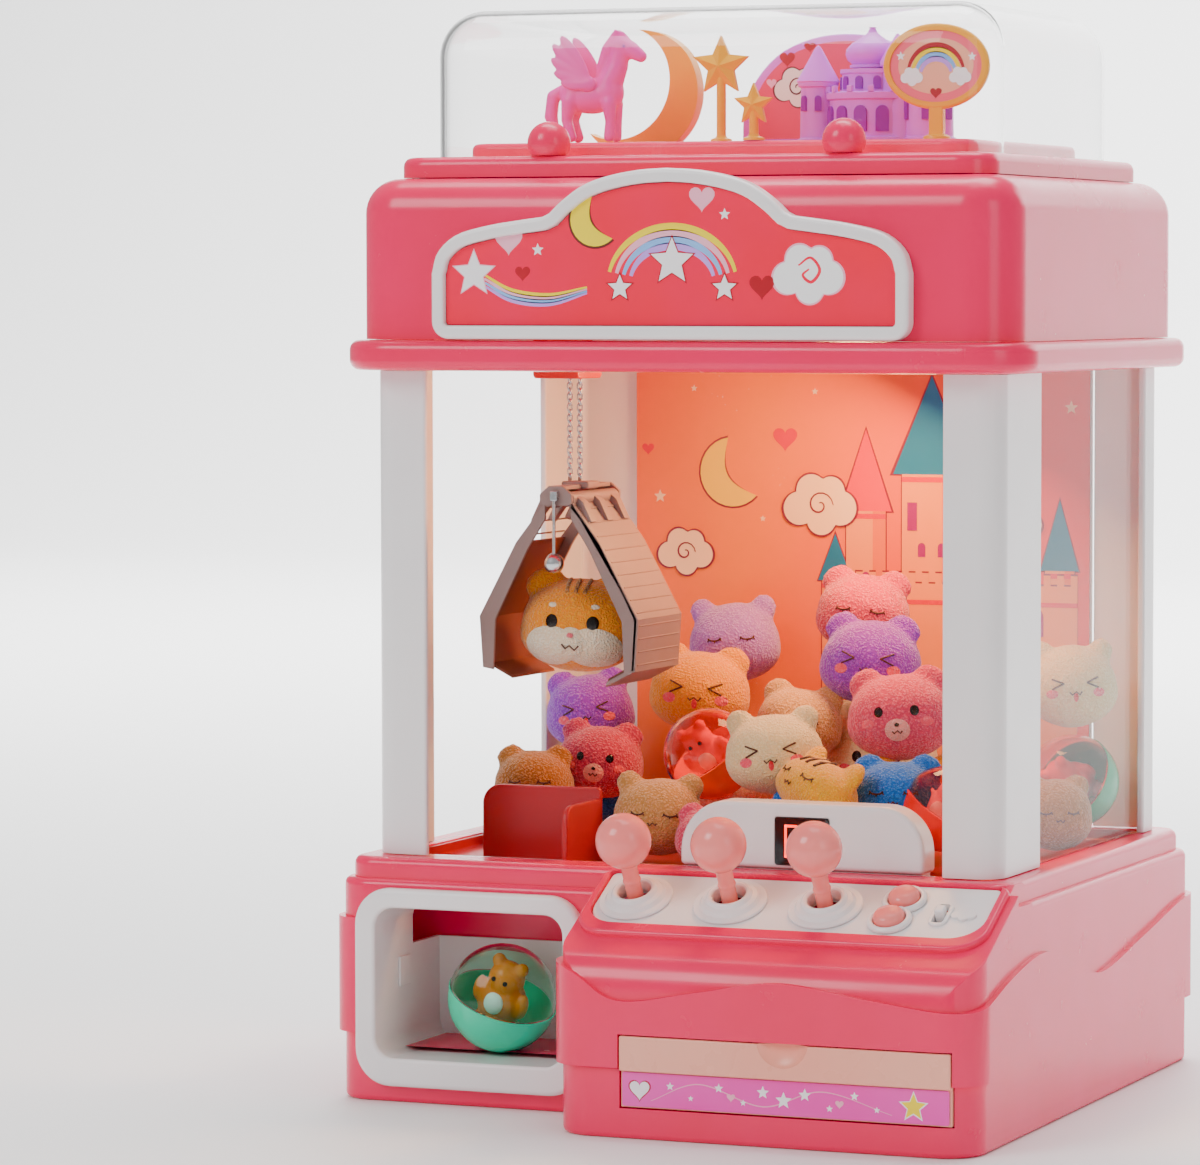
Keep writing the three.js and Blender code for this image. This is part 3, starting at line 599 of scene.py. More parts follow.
def make_base_shell():
    body = slab("base_housing", rounded(rectangle(-BODY_X, BODY_X, -BODY_Y, BODY_Y), 14, 9), SEAM_Z, 89.5,
                edge=3, ends="high", rounds=5)
    lip = slab("lip", rounded(rectangle(-140.5, 140.5, -114.3, 114.3), 11, 9), 84, SILL_Z, edge=3.4,
            ends="high", rounds=5)
    console = keep(slab("console", console_section(0), LEFT, BODY_X, "x"),
            slab("plan", footprint(0), SEAM_Z, 110))
    edit(console)
    choose(console, "edges", lambda e: len(e.link_faces) == 2 and e.calc_face_angle(0) > 0.6
           and min(v.co.z for v in e.verts) > 56 and max(v.co.y for v in e.verts) < -100)
    bpy.ops.mesh.bevel(offset=5, segments=6, affect="EDGES", clamp_overlap=True)
    leave()
    cut(console, block("step", 140.5, 150, -114.3, -90, 89.5, 110))
    ridge = set_matrix(slab("ridge", rounded(rectangle(-84.2, 84.2, -24.2, 18.1), [14, 14, 4, 4], 9), -6,
            1.5,
                            edge=1.5, ends="high"), PANEL_AT)
    band = []
    front = [(-60, 10)] + curve_through(FRONT_WAVE, 56) + [(160, 10)]
    side = [(-180, 10)] + curve_through(SIDE_WAVE, 64) + [(130, 10)]
    for tool in (slab("wave", front, -175, -125, "y"), slab("wave", side, 110, 150, "x"),
                 block("left band", -150, -120, -125, 125, 20, 73.7),
                 block("bay band", -150, -25, -125, -110, 20, 73.7),
                 block("rear band", -150, 150, 110, 125, 20, 69.7)):
        band.append(keep(slab("skirt", footprint(2), SEAM_Z, 80), tool))
    skirt = fuse(*band)
    edit(skirt)
    choose(skirt, "edges", lambda e: len(e.link_faces) == 2 and e.calc_face_angle(0) > 0.9
           and max(f.normal.z for f in e.link_faces) > 0.7 and min(f.normal.z for f in e.link_faces) < 0.3)
    bpy.ops.mesh.bevel(offset=1.4, segments=4, affect="EDGES", clamp_overlap=True)
    leave()
    fuse(body, lip, console, ridge, skirt)
    cut(body,
        slab("hollow", rounded(rectangle(-141.2, 141.2, -115, 115), 11), 20, 86.5),
        slab("lip hollow", rounded(rectangle(-137.5, 137.5, -111.3, 111.3), 8), 80, 94.9),
        keep(slab("console hollow", console_section(3), LEFT + 3, 137.8, "x"),
        slab("plan", footprint(-3), 10, 110)),
        block("well", -126, 126, -98, 98, 90, 110),
        slab("bay hole", bay_outline(2.6, 10), -124, -100, "y"),
        slab("ring seat", rounded(rectangle(-133.8, -33.6, 6.3, 86.7), 15.4, 9), -124, -118, "y"),
        drawer_hole(20, 40.5),
        set_matrix(slab("panel seat", panel_outline(0.3), -2.3, 4), PANEL_AT),
        set_matrix(block("switch room", -76, 76, -15, 15, -12, 4), PANEL_AT))
    wall = block("bay_wall", -142, -33, -57.5, -55.3, 30, 84)
    return seat(together("base_housing", [tidy(body), wall]), "cabinet", "base_shell", PINK)


def make_bay():
    ring = slab("bay_liner", rounded(rectangle(-133.4, -34, 6.7, 86.3), 15, 10), -122.4, -118.3, "y",
            edge=2.2, rounds=5, ends="low")
    fuse(ring, slab("tub", bay_outline(2.2, 10, 9), -120, -58.3, "y"))
    cut(ring, slab("inside", bay_outline(0, 8, 9), -124.5, -60.5, "y"),
            block("mouth", -122, -45, -96, -50, 70, 90),
        block("low rear", -130, -36, -86, -50, 60, 90))
    edit(ring)
    choose(ring, "edges", lambda e: all(v.co.y < -122.2 for v in e.verts) and len(e.link_faces) == 2
           and e.calc_face_angle(0) > 0.8)
    bpy.ops.mesh.bevel(offset=1.6, segments=4, affect="EDGES", clamp_overlap=True)
    leave()
    latch = block("latch", -124.2, -123.2, -100, -90, 44, 56, 0.3)
    seat(together("bay_tub", [tidy(ring), latch]), "cabinet", "bay_liner", WHITE)


make_base_tray()
make_base_shell()
make_bay()


# ---------------------------------------------------------------- drawer
def star(x, z, radius, waist=0.45, count=5, turn=0.0):
    return [(x + (radius if k % 2 == 0 else radius * waist) * math.sin(turn + math.pi * k / count),
             z + (radius if k % 2 == 0 else radius * waist) * math.cos(turn + math.pi * k / count))
            for k in range(count * 2)]


def heart(x, z, size, count=26):
    points = []
    for k in range(count):
        a = math.tau * k / count
        points.append((x + size * 0.0625 * 16 * math.sin(a) ** 3,
                       z + size * 0.0625 * (13 * math.cos(a) - 5 * math.cos(2 * a)
                                            - 2 * math.cos(3 * a) - math.cos(4 * a))))
    return points


def crescent(x, z, radius, turn=0.0, bite=0.42, count=18):
    """An old moon: a disc's rim, then back along the bite."""
    outer = [turn + math.radians(70 + 220 * k / count) for k in range(count + 1)]
    points = [(x + radius * math.cos(a), z + radius * math.sin(a)) for a in outer]
    start, end = Vector(points[-1]), Vector(points[0])
    middle = (start + end) / 2
    inward = (Vector((x, z)) - middle).normalized()
    deep = Vector((math.cos(turn + math.pi), math.sin(turn + math.pi))) * radius * bite
    for k in range(1, count):
        t = k / count
        point = start.lerp(end, t) + deep * math.sin(math.pi * t) * 1.25
        points.append((point.x, point.y))
    return points


def cloud(x, z, size, puffs=((0, 0, 0.62), (-0.62, -0.1, 0.48), (0.62, -0.08, 0.5), (-0.25, 0.42, 0.46),
        (0.34, 0.4, 0.42),
                             (0.05, -0.42, 0.44)), count=22):
    """Outline of overlapping puffs, walked round its middle."""
    points = []
    for k in range(count * 3):
        a = math.tau * k / (count * 3)
        reach = 0.2
        for px, pz, pr in puffs:
            along = px * math.cos(a) + pz * math.sin(a)
            across = -px * math.sin(a) + pz * math.cos(a)
            if abs(across) < pr:
                reach = max(reach, along + math.sqrt(pr * pr - across * across))
        points.append((x + size * reach * math.cos(a), z + size * reach * math.sin(a)))
    return points


def stroke(points, width):
    """The outline of a ribbon of ink along a line of points, thinner at its ends."""
    points = [Vector(p) for p in points]
    left, right = [], []
    for i, point in enumerate(points):
        ahead = points[min(i + 1, len(points) - 1)] - points[max(i - 1, 0)]
        side = Vector((-ahead.y, ahead.x)).normalized()
        half = width / 2 * (0.45 + 0.55 * math.sin(math.pi * (i + 0.5) / len(points)))
        left.append(tuple(point + side * half))
        right.append(tuple(point - side * half))
    return left + right[::-1]


def arc(x, z, radius, start, end, count=14, squash=1.0):
    return [(x + radius * math.cos(math.radians(start + (end - start) * k / count)),
             z + squash * radius * math.sin(math.radians(start + (end - start) * k / count)))
             for k in range(count + 1)]


def ink(outline, y, material, thick=0.12):
    """One flat printed shape on a board that faces -Y."""
    return paint(slab("ink", outline, y - thick, y, "y"), material)


def make_drawer():
    x0, x1 = 1.3, 135.5
    front = block("drawer_front", x0, x1, -168.5, -162, 26.4, 40, 0.8)
    lower = block("lower", x0, x1, -165.9, -162, 12.3, 28, 0.3)
    fuse(front, lower)
    cut(front, globe("scoop", (68.4, -169.6, 41.6), (11, 4.4, 11), 40, 24))
    tray = cut(block("tray", 5, 131, -163, -95, 13.3, 37, 1.0),
            block("room", 7, 129, -161, -97, 15.3, 50, 1.0))
    fuse(front, tray)
    seat(tidy(front), "drawer", "drawer", PEACH)


INK_WHITE = plastic("Ink white", "#ffffff", "#fbf6fb", polish=0.38, grain=0.03)
INK_YELLOW = plastic("Ink yellow", "#ffdc3c", "#ffe252", polish=0.38, grain=0.03)
INK_RED = plastic("Ink red", "#a50f34", "#b2143b", polish=0.38, grain=0.03)
INK_BROWN = plastic("Ink brown", "#5c2a26", "#6b332c", polish=0.38, grain=0.03)
INK_PALE = plastic("Ink pale pink", "#ffb3c8", "#ffc0d0", polish=0.38, grain=0.03)
INK_BLUE = plastic("Ink blue", "#8cb7ee", "#9cc2f2", polish=0.38, grain=0.03)
INK_LILAC = plastic("Ink lilac", "#c39be8", "#cda9ee", polish=0.38, grain=0.03)


def outlined(shape, grown, y, fill, rim):
    return [ink(grown, y, rim, 0.06), ink(shape, y - 0.05, fill, 0.1)]


def make_drawer_label():
    plate = slab("drawer_label_print", rounded(rectangle(2.1, 134.7, 12.9, 26), 0.8, 3), -166.8, -166.2,
            "y", edge=0.15, rounds=2)
    paint(plate, LABEL)
    pieces = [plate]
    pieces += outlined(heart(9.4, 19.6, 4.1), heart(9.4, 19.6, 4.7), -166.8, INK_WHITE, INK_RED)
    pieces += outlined(star(120.6, 19.2, 5.2), star(120.6, 19.1, 6.2), -166.8, INK_YELLOW, INK_WHITE)
    garland = curve_through([(14, 15.4), (34, 22.8), (60, 15.8), (84, 22.8), (112, 15.6)], 60)
    pieces.append(ink(stroke(garland, 0.4), -166.8, INK_PALE, 0.05))
    for x, z, r in ((22, 21.4, 1.7), (30.5, 17.2, 1.2), (42, 21.8, 1.9), (52, 16.8, 1.3), (60, 21.2, 2.6),
            (68.4, 18.6, 3.4),
                    (77, 21.2, 2.6), (87, 16.6, 1.4), (97, 21.9, 1.8), (106, 17.2, 1.3)):
        pieces.append(ink(star(x, z, r), -166.85, INK_WHITE, 0.06))
    for x in (47, 91):
        pieces.append(ink(heart(x, 18.6, 1.7), -166.85, INK_PALE, 0.06))
    seat(together("drawer_label_print", pieces), "drawer", "drawer_label")


make_drawer()
make_drawer_label()


# ---------------------------------------------------------------- console
STICKS = (-8, 31.7, 71)
BUTTONS = ((101, 7), (99.2, -6.7))


def make_console():
    panel = slab("console_plate", panel_outline(0), -2, 0, edge=0.7, ends="high", rounds=3)
    cut(panel, *[rod("hole", (x - 56.75, 0, -6), (x - 56.75, 0, 6), 7.4, 40) for x in STICKS],
        *[rod("hole", (x - 56.75, y, -6), (x - 56.75, y, 6), 6.4, 36) for x, y in BUTTONS],
        block("slot", 59.2, 63.8, -7, 5, -6, 6))
    seat(set_matrix(tidy(panel), PANEL_AT), "cabinet", "control_panel", WHITE)
    for side, x in zip(("left", "middle", "right"), STICKS):
        at = PANEL_AT @ Matrix.Translation((x - 56.75, 0, 0))
        ring = turned("stick_collar_" + side, [(6.5, 0.3), (14.6, 0.3), (14.7, 0.8), (14.4, 1.3),
                (13.2, 1.6), (12.2, 1.7),
                      (11.6, 2.3), (11.0, 3.1), (9.9, 3.5), (9.3, 3.7), (8.9, 4.6), (8.2, 5.1), (7.4, 5.1),
                      (6.8, 4.6), (6.5, 3.6), (6.5, 0.3)],
                      steps=56, matrix=at)
        seat(ring, "cabinet", "escutcheon_" + side, WHITE)
        grip = [(0, -9), (2.9, -9), (3.2, -8.6), (3.2, 8), (3.4, 8.6), (3.6, 9.2), (3.4, 9.8), (3.2, 10.4),
                (3.3, 15.6), (4.2, 17.2)]
        grip += [(10.9 * math.sin(math.radians(a)), 27.3 - 10.9 * math.cos(math.radians(a)))
                for a in range(28, 180, 8)] + [(0, 38.2)]
        seat(turned("stick_" + side, grip, steps=48, matrix=at), "lever_" + side,
                "lever_" + side, SALMON, 60)
    for (x, y), name in zip(BUTTONS, ("rear", "front")):
        cap = turned("press_" + name, [(0, -5), (6.7, -5), (6.7, -2.9), (6.1, -2.7), (6.1, 2.6), (5.9, 3.4),
                (5.2, 4.3), (3.9, 4.9),
                     (2, 5.2), (0, 5.3)], steps=44, matrix=PANEL_AT @ Matrix.Translation((x - 56.75, y, 0)))
        seat(cap, "button_" + name, "button_" + name, SALMON, 45)
    rings = [turned("surround", [(6.45, 0.3), (8.7, 0.3), (8.9, 0.9), (8.6, 1.7), (7.9, 2.2), (7.1, 2.2),
            (6.6, 1.8), (6.45, 1.2), (6.45, 0.3)],
             (x - 56.75, y, 0), 40) for x, y in BUTTONS]
    surround = fuse(*rings)
    bore = [rod("bore", (x - 56.75, y, -2), (x - 56.75, y, 6), 6.42, 40) for x, y in BUTTONS]
    seat(set_matrix(tidy(cut(surround, *bore)), PANEL_AT), "cabinet", "button_bezel",
            WHITE)
    knob = together("selector", [block("nub", 59.6, 63.4, -3.2, 1.2, -3, 3.6, 0.8),
            block("foot", 57.5, 65.5, -4, 2, -5, -2.4, 0.3)])
    seat(set_matrix(knob, PANEL_AT), "mode_switch", "mode_switch", WHITE)
    bezel = slab("selector_rim", rounded(rectangle(57.6, 65.4, -8.6, 6.6), 3.6, 8), 0.02, 1.0, edge=0.4,
            ends="high")
    cut(bezel, slab("opening", rounded(rectangle(59.1, 63.9, -7.1, 5.1), 1.2, 5), -1, 3))
    badge = slab("badge", cloud(70.6, -0.8, 4.6), 0.02, 1.1, edge=0.4, ends="high")
    seat(set_matrix(together("selector_rim", [tidy(bezel), badge]), PANEL_AT), "cabinet",
            (), WHITE)


make_console()


# ---------------------------------------------------------------- cabinet
FLANGE_Z, CANOPY_Z, PLATE_Z, DECK_Z, DOME_Z = 292.6, 304.6, 369.0, 383.5, 437.0
POST_LOW, POST_HIGH = SILL_Z + GAP, FLANGE_Z - GAP


def make_post(name, sx, sy, across, along):
    x, y, t = 132.8, 104.4, 3
    corner = [(x, y), (x - across, y), (x - across, y - t), (x - t, y - t), (x - t, y - along),
            (x, y - along)]
    outline = [(px * sx, py * sy) for px, py in rounded(corner, [10, 1.2, 0.8, 3, 0.8, 1.2], 8)]
    seat(slab("corner_" + name, outline, POST_LOW, POST_HIGH, edge=0.3, rounds=2), "cabinet",
            "post_" + name, WHITE, 40)


for post in (("front_left", -1, -1, 23.4, 51), ("front_right", 1, -1, 23.4, 51),
             ("rear_left", -1, 1, 28.9, 44), ("rear_right", 1, 1, 28.9, 22)):
    make_post(*post)

for pane, spot in (("window_front", (-126, 126, -101.1, -99.6)), ("window_left", (-129.5, -128, -98.6, 97)),
                   ("window_right", (128, 129.5, -98.6, 97))):
    seat(block(pane.replace("window", "pane"), *spot, POST_LOW, POST_HIGH, 0.25, 2), "cabinet",
            pane, CLEAR)


def make_rear_door():
    door = block("loading_door", -103.4, 103.4, 99.6, 102.6, POST_LOW + 0.1, POST_HIGH - 0.1, 0.4, 2)
    frame_ = cut(slab("raised border", rounded(rectangle(-91, 99, 103, 288), 5), 102.3, 103.4, "y",
            edge=0.4),
                 slab("inside", rounded(rectangle(-86, 94, 108, 283), 3), 100, 106, "y"))
    pull = cut(slab("pull", rounded(rectangle(84, 92, 180, 214), 3.9), 102.3, 106.5, "y", edge=1.2),
               slab("grip", rounded(rectangle(86.4, 89.6, 184, 210), 1.5), 103.6, 108, "y"))
    hinges = [rod("knuckle", (-103.4, 102.6, z), (-103.4, 102.6, z + 22), 0.9, 20, 0.2)
            for z in (118, 184, 250)]
    seat(together("loading_door", [door, frame_, pull, *hinges]), "rear_door", "rear_door",
            WHITE)


make_rear_door()


def make_display():
    housing = slab("display_hood", rounded(rectangle(-2, 100, SILL_Z + GAP, 124.3), [2, 2, 18, 20], 10),
            -98.3, -84, "y", edge=2.4, rounds=5)
    fuse(housing, block("foot", 0, 98, -95.2, -85, 93.3, 104))
    cut(housing, slab("window hole", rounded(rectangle(38, 61.2, 99.7, 119), 1.2, 4), -99.4, -97.3, "y"))
    seat(tidy(housing), "cabinet", "display_housing", WHITE)
    glow, tree, surface = new_material("Lit segments", Base_Color=(0.5, 0.01, 0.01, 1), Roughness=0.35,
                                       Emission_Color=(1.0, 0.03, 0.01, 1), Emission_Strength=4.0)
    scuffs = noise_texture(tree, node(tree, "TexCoord").outputs["Object"], 400.0)
    tree.links.new(stretch(tree, scuffs.outputs["Fac"], 0.3, 0.7, 0.3, 0.4), surface.inputs["Roughness"])
    pane = slab("counter_window", rounded(rectangle(38.3, 60.9, 100, 118.7), 1, 4), -98.8, -97.6, "y",
            edge=0.2, rounds=2)
    bars = [paint(pane, SMOKE)]
    for x, lit in ((42.3, "afgecd"), (51.6, "abcdef")):
        w, h, t = 5.6, 13.2, 1.25
        z = 102.8
        for name, x0, x1, z0, z1 in (("a", x, x + w, z + h - t, z + h),
                ("g", x, x + w, z + h / 2 - t / 2, z + h / 2 + t / 2),
                                     ("d", x, x + w, z, z + t), ("f", x, x + t, z + h / 2, z + h),
                                     ("b", x + w - t, x + w, z + h / 2, z + h),
                                     ("e", x, x + t, z, z + h / 2), ("c", x + w - t, x + w, z, z + h / 2)):
            if name in lit:
                bars.append(paint(slab("bar", rounded(rectangle(x0 + 0.12, x1 - 0.12, z0 + 0.12, z1 - 0.12),
                        0.3, 2), -98.95, -98.7, "y"), glow))
    seat(together("counter_window", bars), "cabinet", "display_window")


make_display()


# ---------------------------------------------------------------- canopy
def sign_outline(inset, fine=True):
    half = [(93.3, 305.2), (98.2, 307.2), (100.3, 312), (100.3, 330), (96.8, 339), (89, 346), (76, 349.8),
            (62, 352),
            (50.5, 353.4), (44.5, 358.3), (36, 364.6), (25, 368.8), (12, 371.2), (0, 371.9)]
    if fine:
        corner = arc(93.3, 312.2, 7, -90, 0, 7)
        arm = curve_through([(100.3, 331), (97.6, 339.5), (89.5, 346.3), (76, 349.9), (62, 352),
                (52.5, 353.2)], 18)
        top = curve_through([(49.5, 354.6), (44.5, 359.2), (35.5, 365.3), (25, 368.9), (12, 371.2),
                (0, 371.9)], 16)
        half = corner + arm + top
    whole = half + [(-x, z) for x, z in half[-2::-1]]
    result = []
    for i, (x, z) in enumerate(whole):
        ax, az = whole[i - 1]
        bx, bz = whole[(i + 1) % len(whole)]
        length = math.hypot(bx - ax, bz - az) or 1
        result.append((x - inset * (bz - az) / length, z + inset * (bx - ax) / length))
    return result


def make_canopy():
    flange = slab("canopy_rim", rounded(rectangle(-145, 145, -118, 118), 24, 12), FLANGE_Z, CANOPY_Z,
            edge=4, rounds=6)
    cut(flange, slab("opening", rounded(rectangle(-127.5, 127.5, -100.5, 100.5), 2, 3), 280, 320))
    seat(tidy(flange), "cabinet", "canopy_flange", PINK)
    hood = slab("canopy_hood", rounded(rectangle(-139, 139, -111.7, 111.7), 20, 12), CANOPY_Z + GAP,
            PLATE_Z, edge=14, rounds=10, ends="high")
    crest = cut(slab("crest", sign_outline(1.0), -111.7, -99.5, "y"),
            block("below", -110, 110, -120, -80, 290, 340))
    fuse(hood, crest)
    cut(hood, slab("hollow", rounded(rectangle(-136, 136, -108.7, 108.7), 17), 290, PLATE_Z - 3, edge=11,
            ends="high"))
    seat(tidy(hood), "cabinet", "canopy_shell", PINK)
    deck = slab("roof_plate", rounded(rectangle(-126, 126, -99, 99), 14, 10), PLATE_Z + GAP, 377.5,
            edge=3.6, ends="high", rounds=5)
    fuse(deck, slab("deck", rounded(rectangle(-108, 108, -70, 70), 12, 8), 375, DECK_Z, edge=2.5,
            ends="high"))
    seat(tidy(deck), "cabinet", "top_plate", PINK)
    for side, x in (("left", -61), ("right", 64)):
        stud = cut(globe("roof_stud_" + side, (x, -90.8, 382.7), 8.6, 44, 28),
                block("below", x - 12, x + 12, -104, -78, 360, 377.8))
        seat(tidy(stud), "cabinet", "dome_knob_" + side, PINK, 60)


def make_sign():
    rim = slab("sign_rim", sign_outline(0), -118.5, -112, "y", edge=2.0, rounds=5, ends="low")
    cut(rim, slab("inside", sign_outline(5.4), -125, -105, "y"))
    edit(rim)
    choose(rim, "edges", lambda e: all(v.co.y < -118.4 for v in e.verts) and len(e.link_faces) == 2
            and e.calc_face_angle(0) > 0.8)
    bpy.ops.mesh.bevel(offset=1.2, segments=4, affect="EDGES", clamp_overlap=True)
    leave()
    seat(tidy(rim), "cabinet", "sign_frame", WHITE)
    y = -115.6
    board = [paint(slab("sign_board", sign_outline(5.7), y, -112, "y"), DEEP_PINK)]
    for swing, tone in ((0, INK_YELLOW), (1.5, INK_PALE), (3.0, INK_BLUE), (4.5, INK_LILAC)):
        path = curve_through([(-78, 330.5 - swing), (-66, 324.4 - swing * 0.9), (-50, 322.6 - swing * 0.8),
                (-34, 325.6 - swing * 0.5)], 24)
        board.append(ink(stroke(path, 1.7), y, tone, 0.06))
    board += outlined(star(-82.5, 331, 9), star(-82.5, 331, 10), y - 0.08, INK_WHITE, INK_PALE)
    board += outlined(crescent(-30.5, 352, 10.5, math.radians(25)),
            crescent(-30.5, 352, 11.4, math.radians(25), 0.36), y, INK_YELLOW, INK_BROWN)
    board.append(ink(heart(-67.5, 344.4, 6), y, INK_PALE))
    board.append(ink(heart(-61.5, 331.3, 3.2), y, INK_RED))
    board.append(ink(star(-55, 340.3, 2.6), y, INK_WHITE))
    board.append(ink(heart(14.5, 360.3, 5.4), y, INK_PALE))
    board.append(ink(star(24, 353.8, 2.4), y, INK_WHITE))
    board.append(ink(heart(39.5, 326.2, 5.2), y, INK_RED))
    board += outlined(cloud(58.5, 330.5, 13), cloud(58.5, 330.5, 13.8), y, INK_WHITE, INK_PALE)
    board.append(ink(stroke(curve_through([(54.6, 334), (59.6, 337), (63.4, 332.2), (60, 327.6),
            (56.4, 330.2), (59, 332.6)], 26), 1.3), y - 0.12, DEEP_PINK, 0.05))
    # In the middle, where a maker would put a name: a plain ribbon of stars over a rainbow.
    for k, tone in enumerate((INK_YELLOW, INK_PALE, INK_BLUE, INK_LILAC)):
        board.append(ink(stroke(arc(2, 327, 27 - 3.1 * k, 12, 168, 40, 0.82), 3.0), y, tone, 0.06))
    for x, z, r in ((-20, 325.4, 5.2), (2, 335.6, 9.4), (24, 325.4, 5.2)):
        board += outlined(star(x, z, r), star(x, z, r + 1.1), y - 0.1, INK_WHITE, INK_RED)
    seat(together("sign_board", board), "cabinet", "sign_panel")


def make_dome():
    def form(inset, edge):
        return slab("dome_cover", rounded(rectangle(-120 + inset, 120 - inset, -82 + inset, 82 - inset),
                20 - inset, 12),
                    377.8, DOME_Z - inset, edge=edge, rounds=10, ends="high")
    cover = cut(form(0, 19), slab("inside", rounded(rectangle(-118.2, 118.2, -80.2, 80.2), 18.2, 12), 370,
            DOME_Z - 1.8, edge=17.2, rounds=10, ends="high"))
    seat(tidy(cover), "cabinet", "dome", DOME_CLEAR)


make_canopy()
make_sign()
make_dome()
# ---------------------------------------------------------------- bed and back
def make_bed():
    tub = cut(block("bed", -125.6, 125.6, -97.6, 97.6, 90.2, 97.4, 0.6),
            block("room", -123.6, 123.6, -95.6, 95.6, 93, 110, 1.2))
    duct = block("duct", -125.6, -52, -97.6, -60, 84.6, 91)
    fuse(tub, duct)
    cut(tub, block("chute", -123.6, -54, -95.6, -62, 80, 95))
    rear = slab("rear wall", rounded(rectangle(-104, -51.6, 91, 123.5), [0, 0, 2, 8], 8), -62, -59.6, "y",
            edge=0.7, rounds=3)
    right = slab("right wall", rounded(rectangle(-96, -61, 91, 119), [0, 0, 2, 7], 8), -54, -51.6, "x",
            edge=0.7, rounds=3)
    seat(tidy(fuse(tub, rear, right)), "cabinet", "bed_tub", DARK_RED)


ROOF = plastic("Print roof blue", "#3f7ea8", "#4a88b0", polish=0.5, grain=0.03)
ROOF_RED = plastic("Print roof red", "#e8414f", "#ee4c58", polish=0.5, grain=0.03)
STONE = plastic("Print stone", "#f09a68", "#f2a476", polish=0.5, grain=0.03)
STONE_SHADE = plastic("Print stone shade", "#e4744f", "#e87e5a", polish=0.5, grain=0.03)
BAND = plastic("Print band", "#d8284a", "#dc3454", polish=0.5, grain=0.03)
PANE = plastic("Print window", "#9c2a78", "#a83484", polish=0.5, grain=0.03)
LINE = plastic("Print line", "#7c3048", "#86384e", polish=0.5, grain=0.03)
MOON_INK = plastic("Print moon", "#ffd21e", "#ffd832", polish=0.5, grain=0.03)
CLOUD_INK = plastic("Print cloud", "#ffd9b4", "#ffe2c2", polish=0.5, grain=0.03)


def make_backdrop_ground():
    """Printed sky: coral with an orange shaft of light and drifting glitter."""
    material, tree, surface = new_material("Printed sky", Roughness=0.42, Coat_Weight=0.2)
    where = node(tree, "TexCoord").outputs["Object"]
    axes = node(tree, "SeparateXYZ")
    tree.links.new(where, axes.inputs[0])
    lean = node(tree, "Math", operation="MULTIPLY_ADD")
    tree.links.new(axes.outputs["Z"], lean.inputs[0])
    lean.inputs[1].default_value = -0.12
    tree.links.new(axes.outputs["X"], lean.inputs[2])
    away = node(tree, "Math", operation="ADD")
    tree.links.new(lean.outputs[0], away.inputs[0])
    away.inputs[1].default_value = 0.08
    side = node(tree, "Math", operation="ABSOLUTE")
    tree.links.new(away.outputs[0], side.inputs[0])
    cloudy = noise_texture(tree, where, 14.0, 3.0)
    wobble = node(tree, "Math", operation="MULTIPLY_ADD")
    tree.links.new(cloudy.outputs["Fac"], wobble.inputs[0])
    wobble.inputs[1].default_value = 0.05
    tree.links.new(side.outputs[0], wobble.inputs[2])
    glow = stretch(tree, wobble.outputs[0], 0.03, 0.16, 1.0, 0.0)
    sky = mix(tree, glow, colour("#e2404e"), colour("#f98a36"))
    low = stretch(tree, axes.outputs["Z"], 0.1, 0.26, 1.0, 0.0)
    dusk = node(tree, "Math", operation="MULTIPLY")
    tree.links.new(low, dusk.inputs[0])
    dusk.inputs[1].default_value = 0.4
    sky = mix(tree, dusk.outputs[0], sky, colour("#f2703c"))
    dots = node(tree, "TexVoronoi", feature="F1")
    dots.inputs["Scale"].default_value = 420.0
    tree.links.new(where, dots.inputs["Vector"])
    spark = stretch(tree, dots.outputs["Distance"], 0.08, 0.14, 1.0, 0.0)
    zone = stretch(tree, noise_texture(tree, where, 45.0, 3.0).outputs["Fac"], 0.48, 0.66)
    beam = node(tree, "Math", operation="MULTIPLY")
    tree.links.new(zone, beam.inputs[0])
    tree.links.new(stretch(tree, side.outputs[0], 0.0, 0.05, 1.0, 0.0), beam.inputs[1])
    both = node(tree, "Math", operation="MULTIPLY")
    tree.links.new(spark, both.inputs[0])
    tree.links.new(beam.outputs[0], both.inputs[1])
    tree.links.new(mix(tree, both.outputs[0], sky, colour("#ffeec8")), surface.inputs["Base Color"])
    return material


def tower_print(x, half, foot, top, cap, y, roof, wall, windows=1, band=True):
    """One printed tower: wall, string course, arched windows and a pointed roof."""
    made = outlined(rectangle(x - half, x + half, foot, top),
            rectangle(x - half - 0.5, x + half + 0.5, foot, top + 0.5), y, wall, LINE)
    made.append(ink(rectangle(x + half * 0.35, x + half, foot, top), y - 0.16, STONE_SHADE, 0.04))
    made += outlined([(x - half * 1.3, top), (x + half * 1.3, top), (x, cap)],
            [(x - half * 1.42, top - 0.6), (x + half * 1.42, top - 0.6), (x, cap + 1.4)], y, roof, LINE)
    if band:
        for z in (top - 2.2, foot + (top - foot) * 0.45):
            made.append(ink(rectangle(x - half, x + half, z - 1.1, z + 1.1), y - 0.2, BAND, 0.04))
    span = 2 * half / (windows + 1)
    for k in range(windows):
        wx = x - half + span * (k + 1)
        wz = top - (top - foot) * 0.2
        arch = [(wx - 1.7, wz - 6), (wx + 1.7, wz - 6)] + arc(wx, wz - 1.7, 1.7, 0, 180, 8)
        made.append(ink(arch, y - 0.22, PANE, 0.05))
    return made


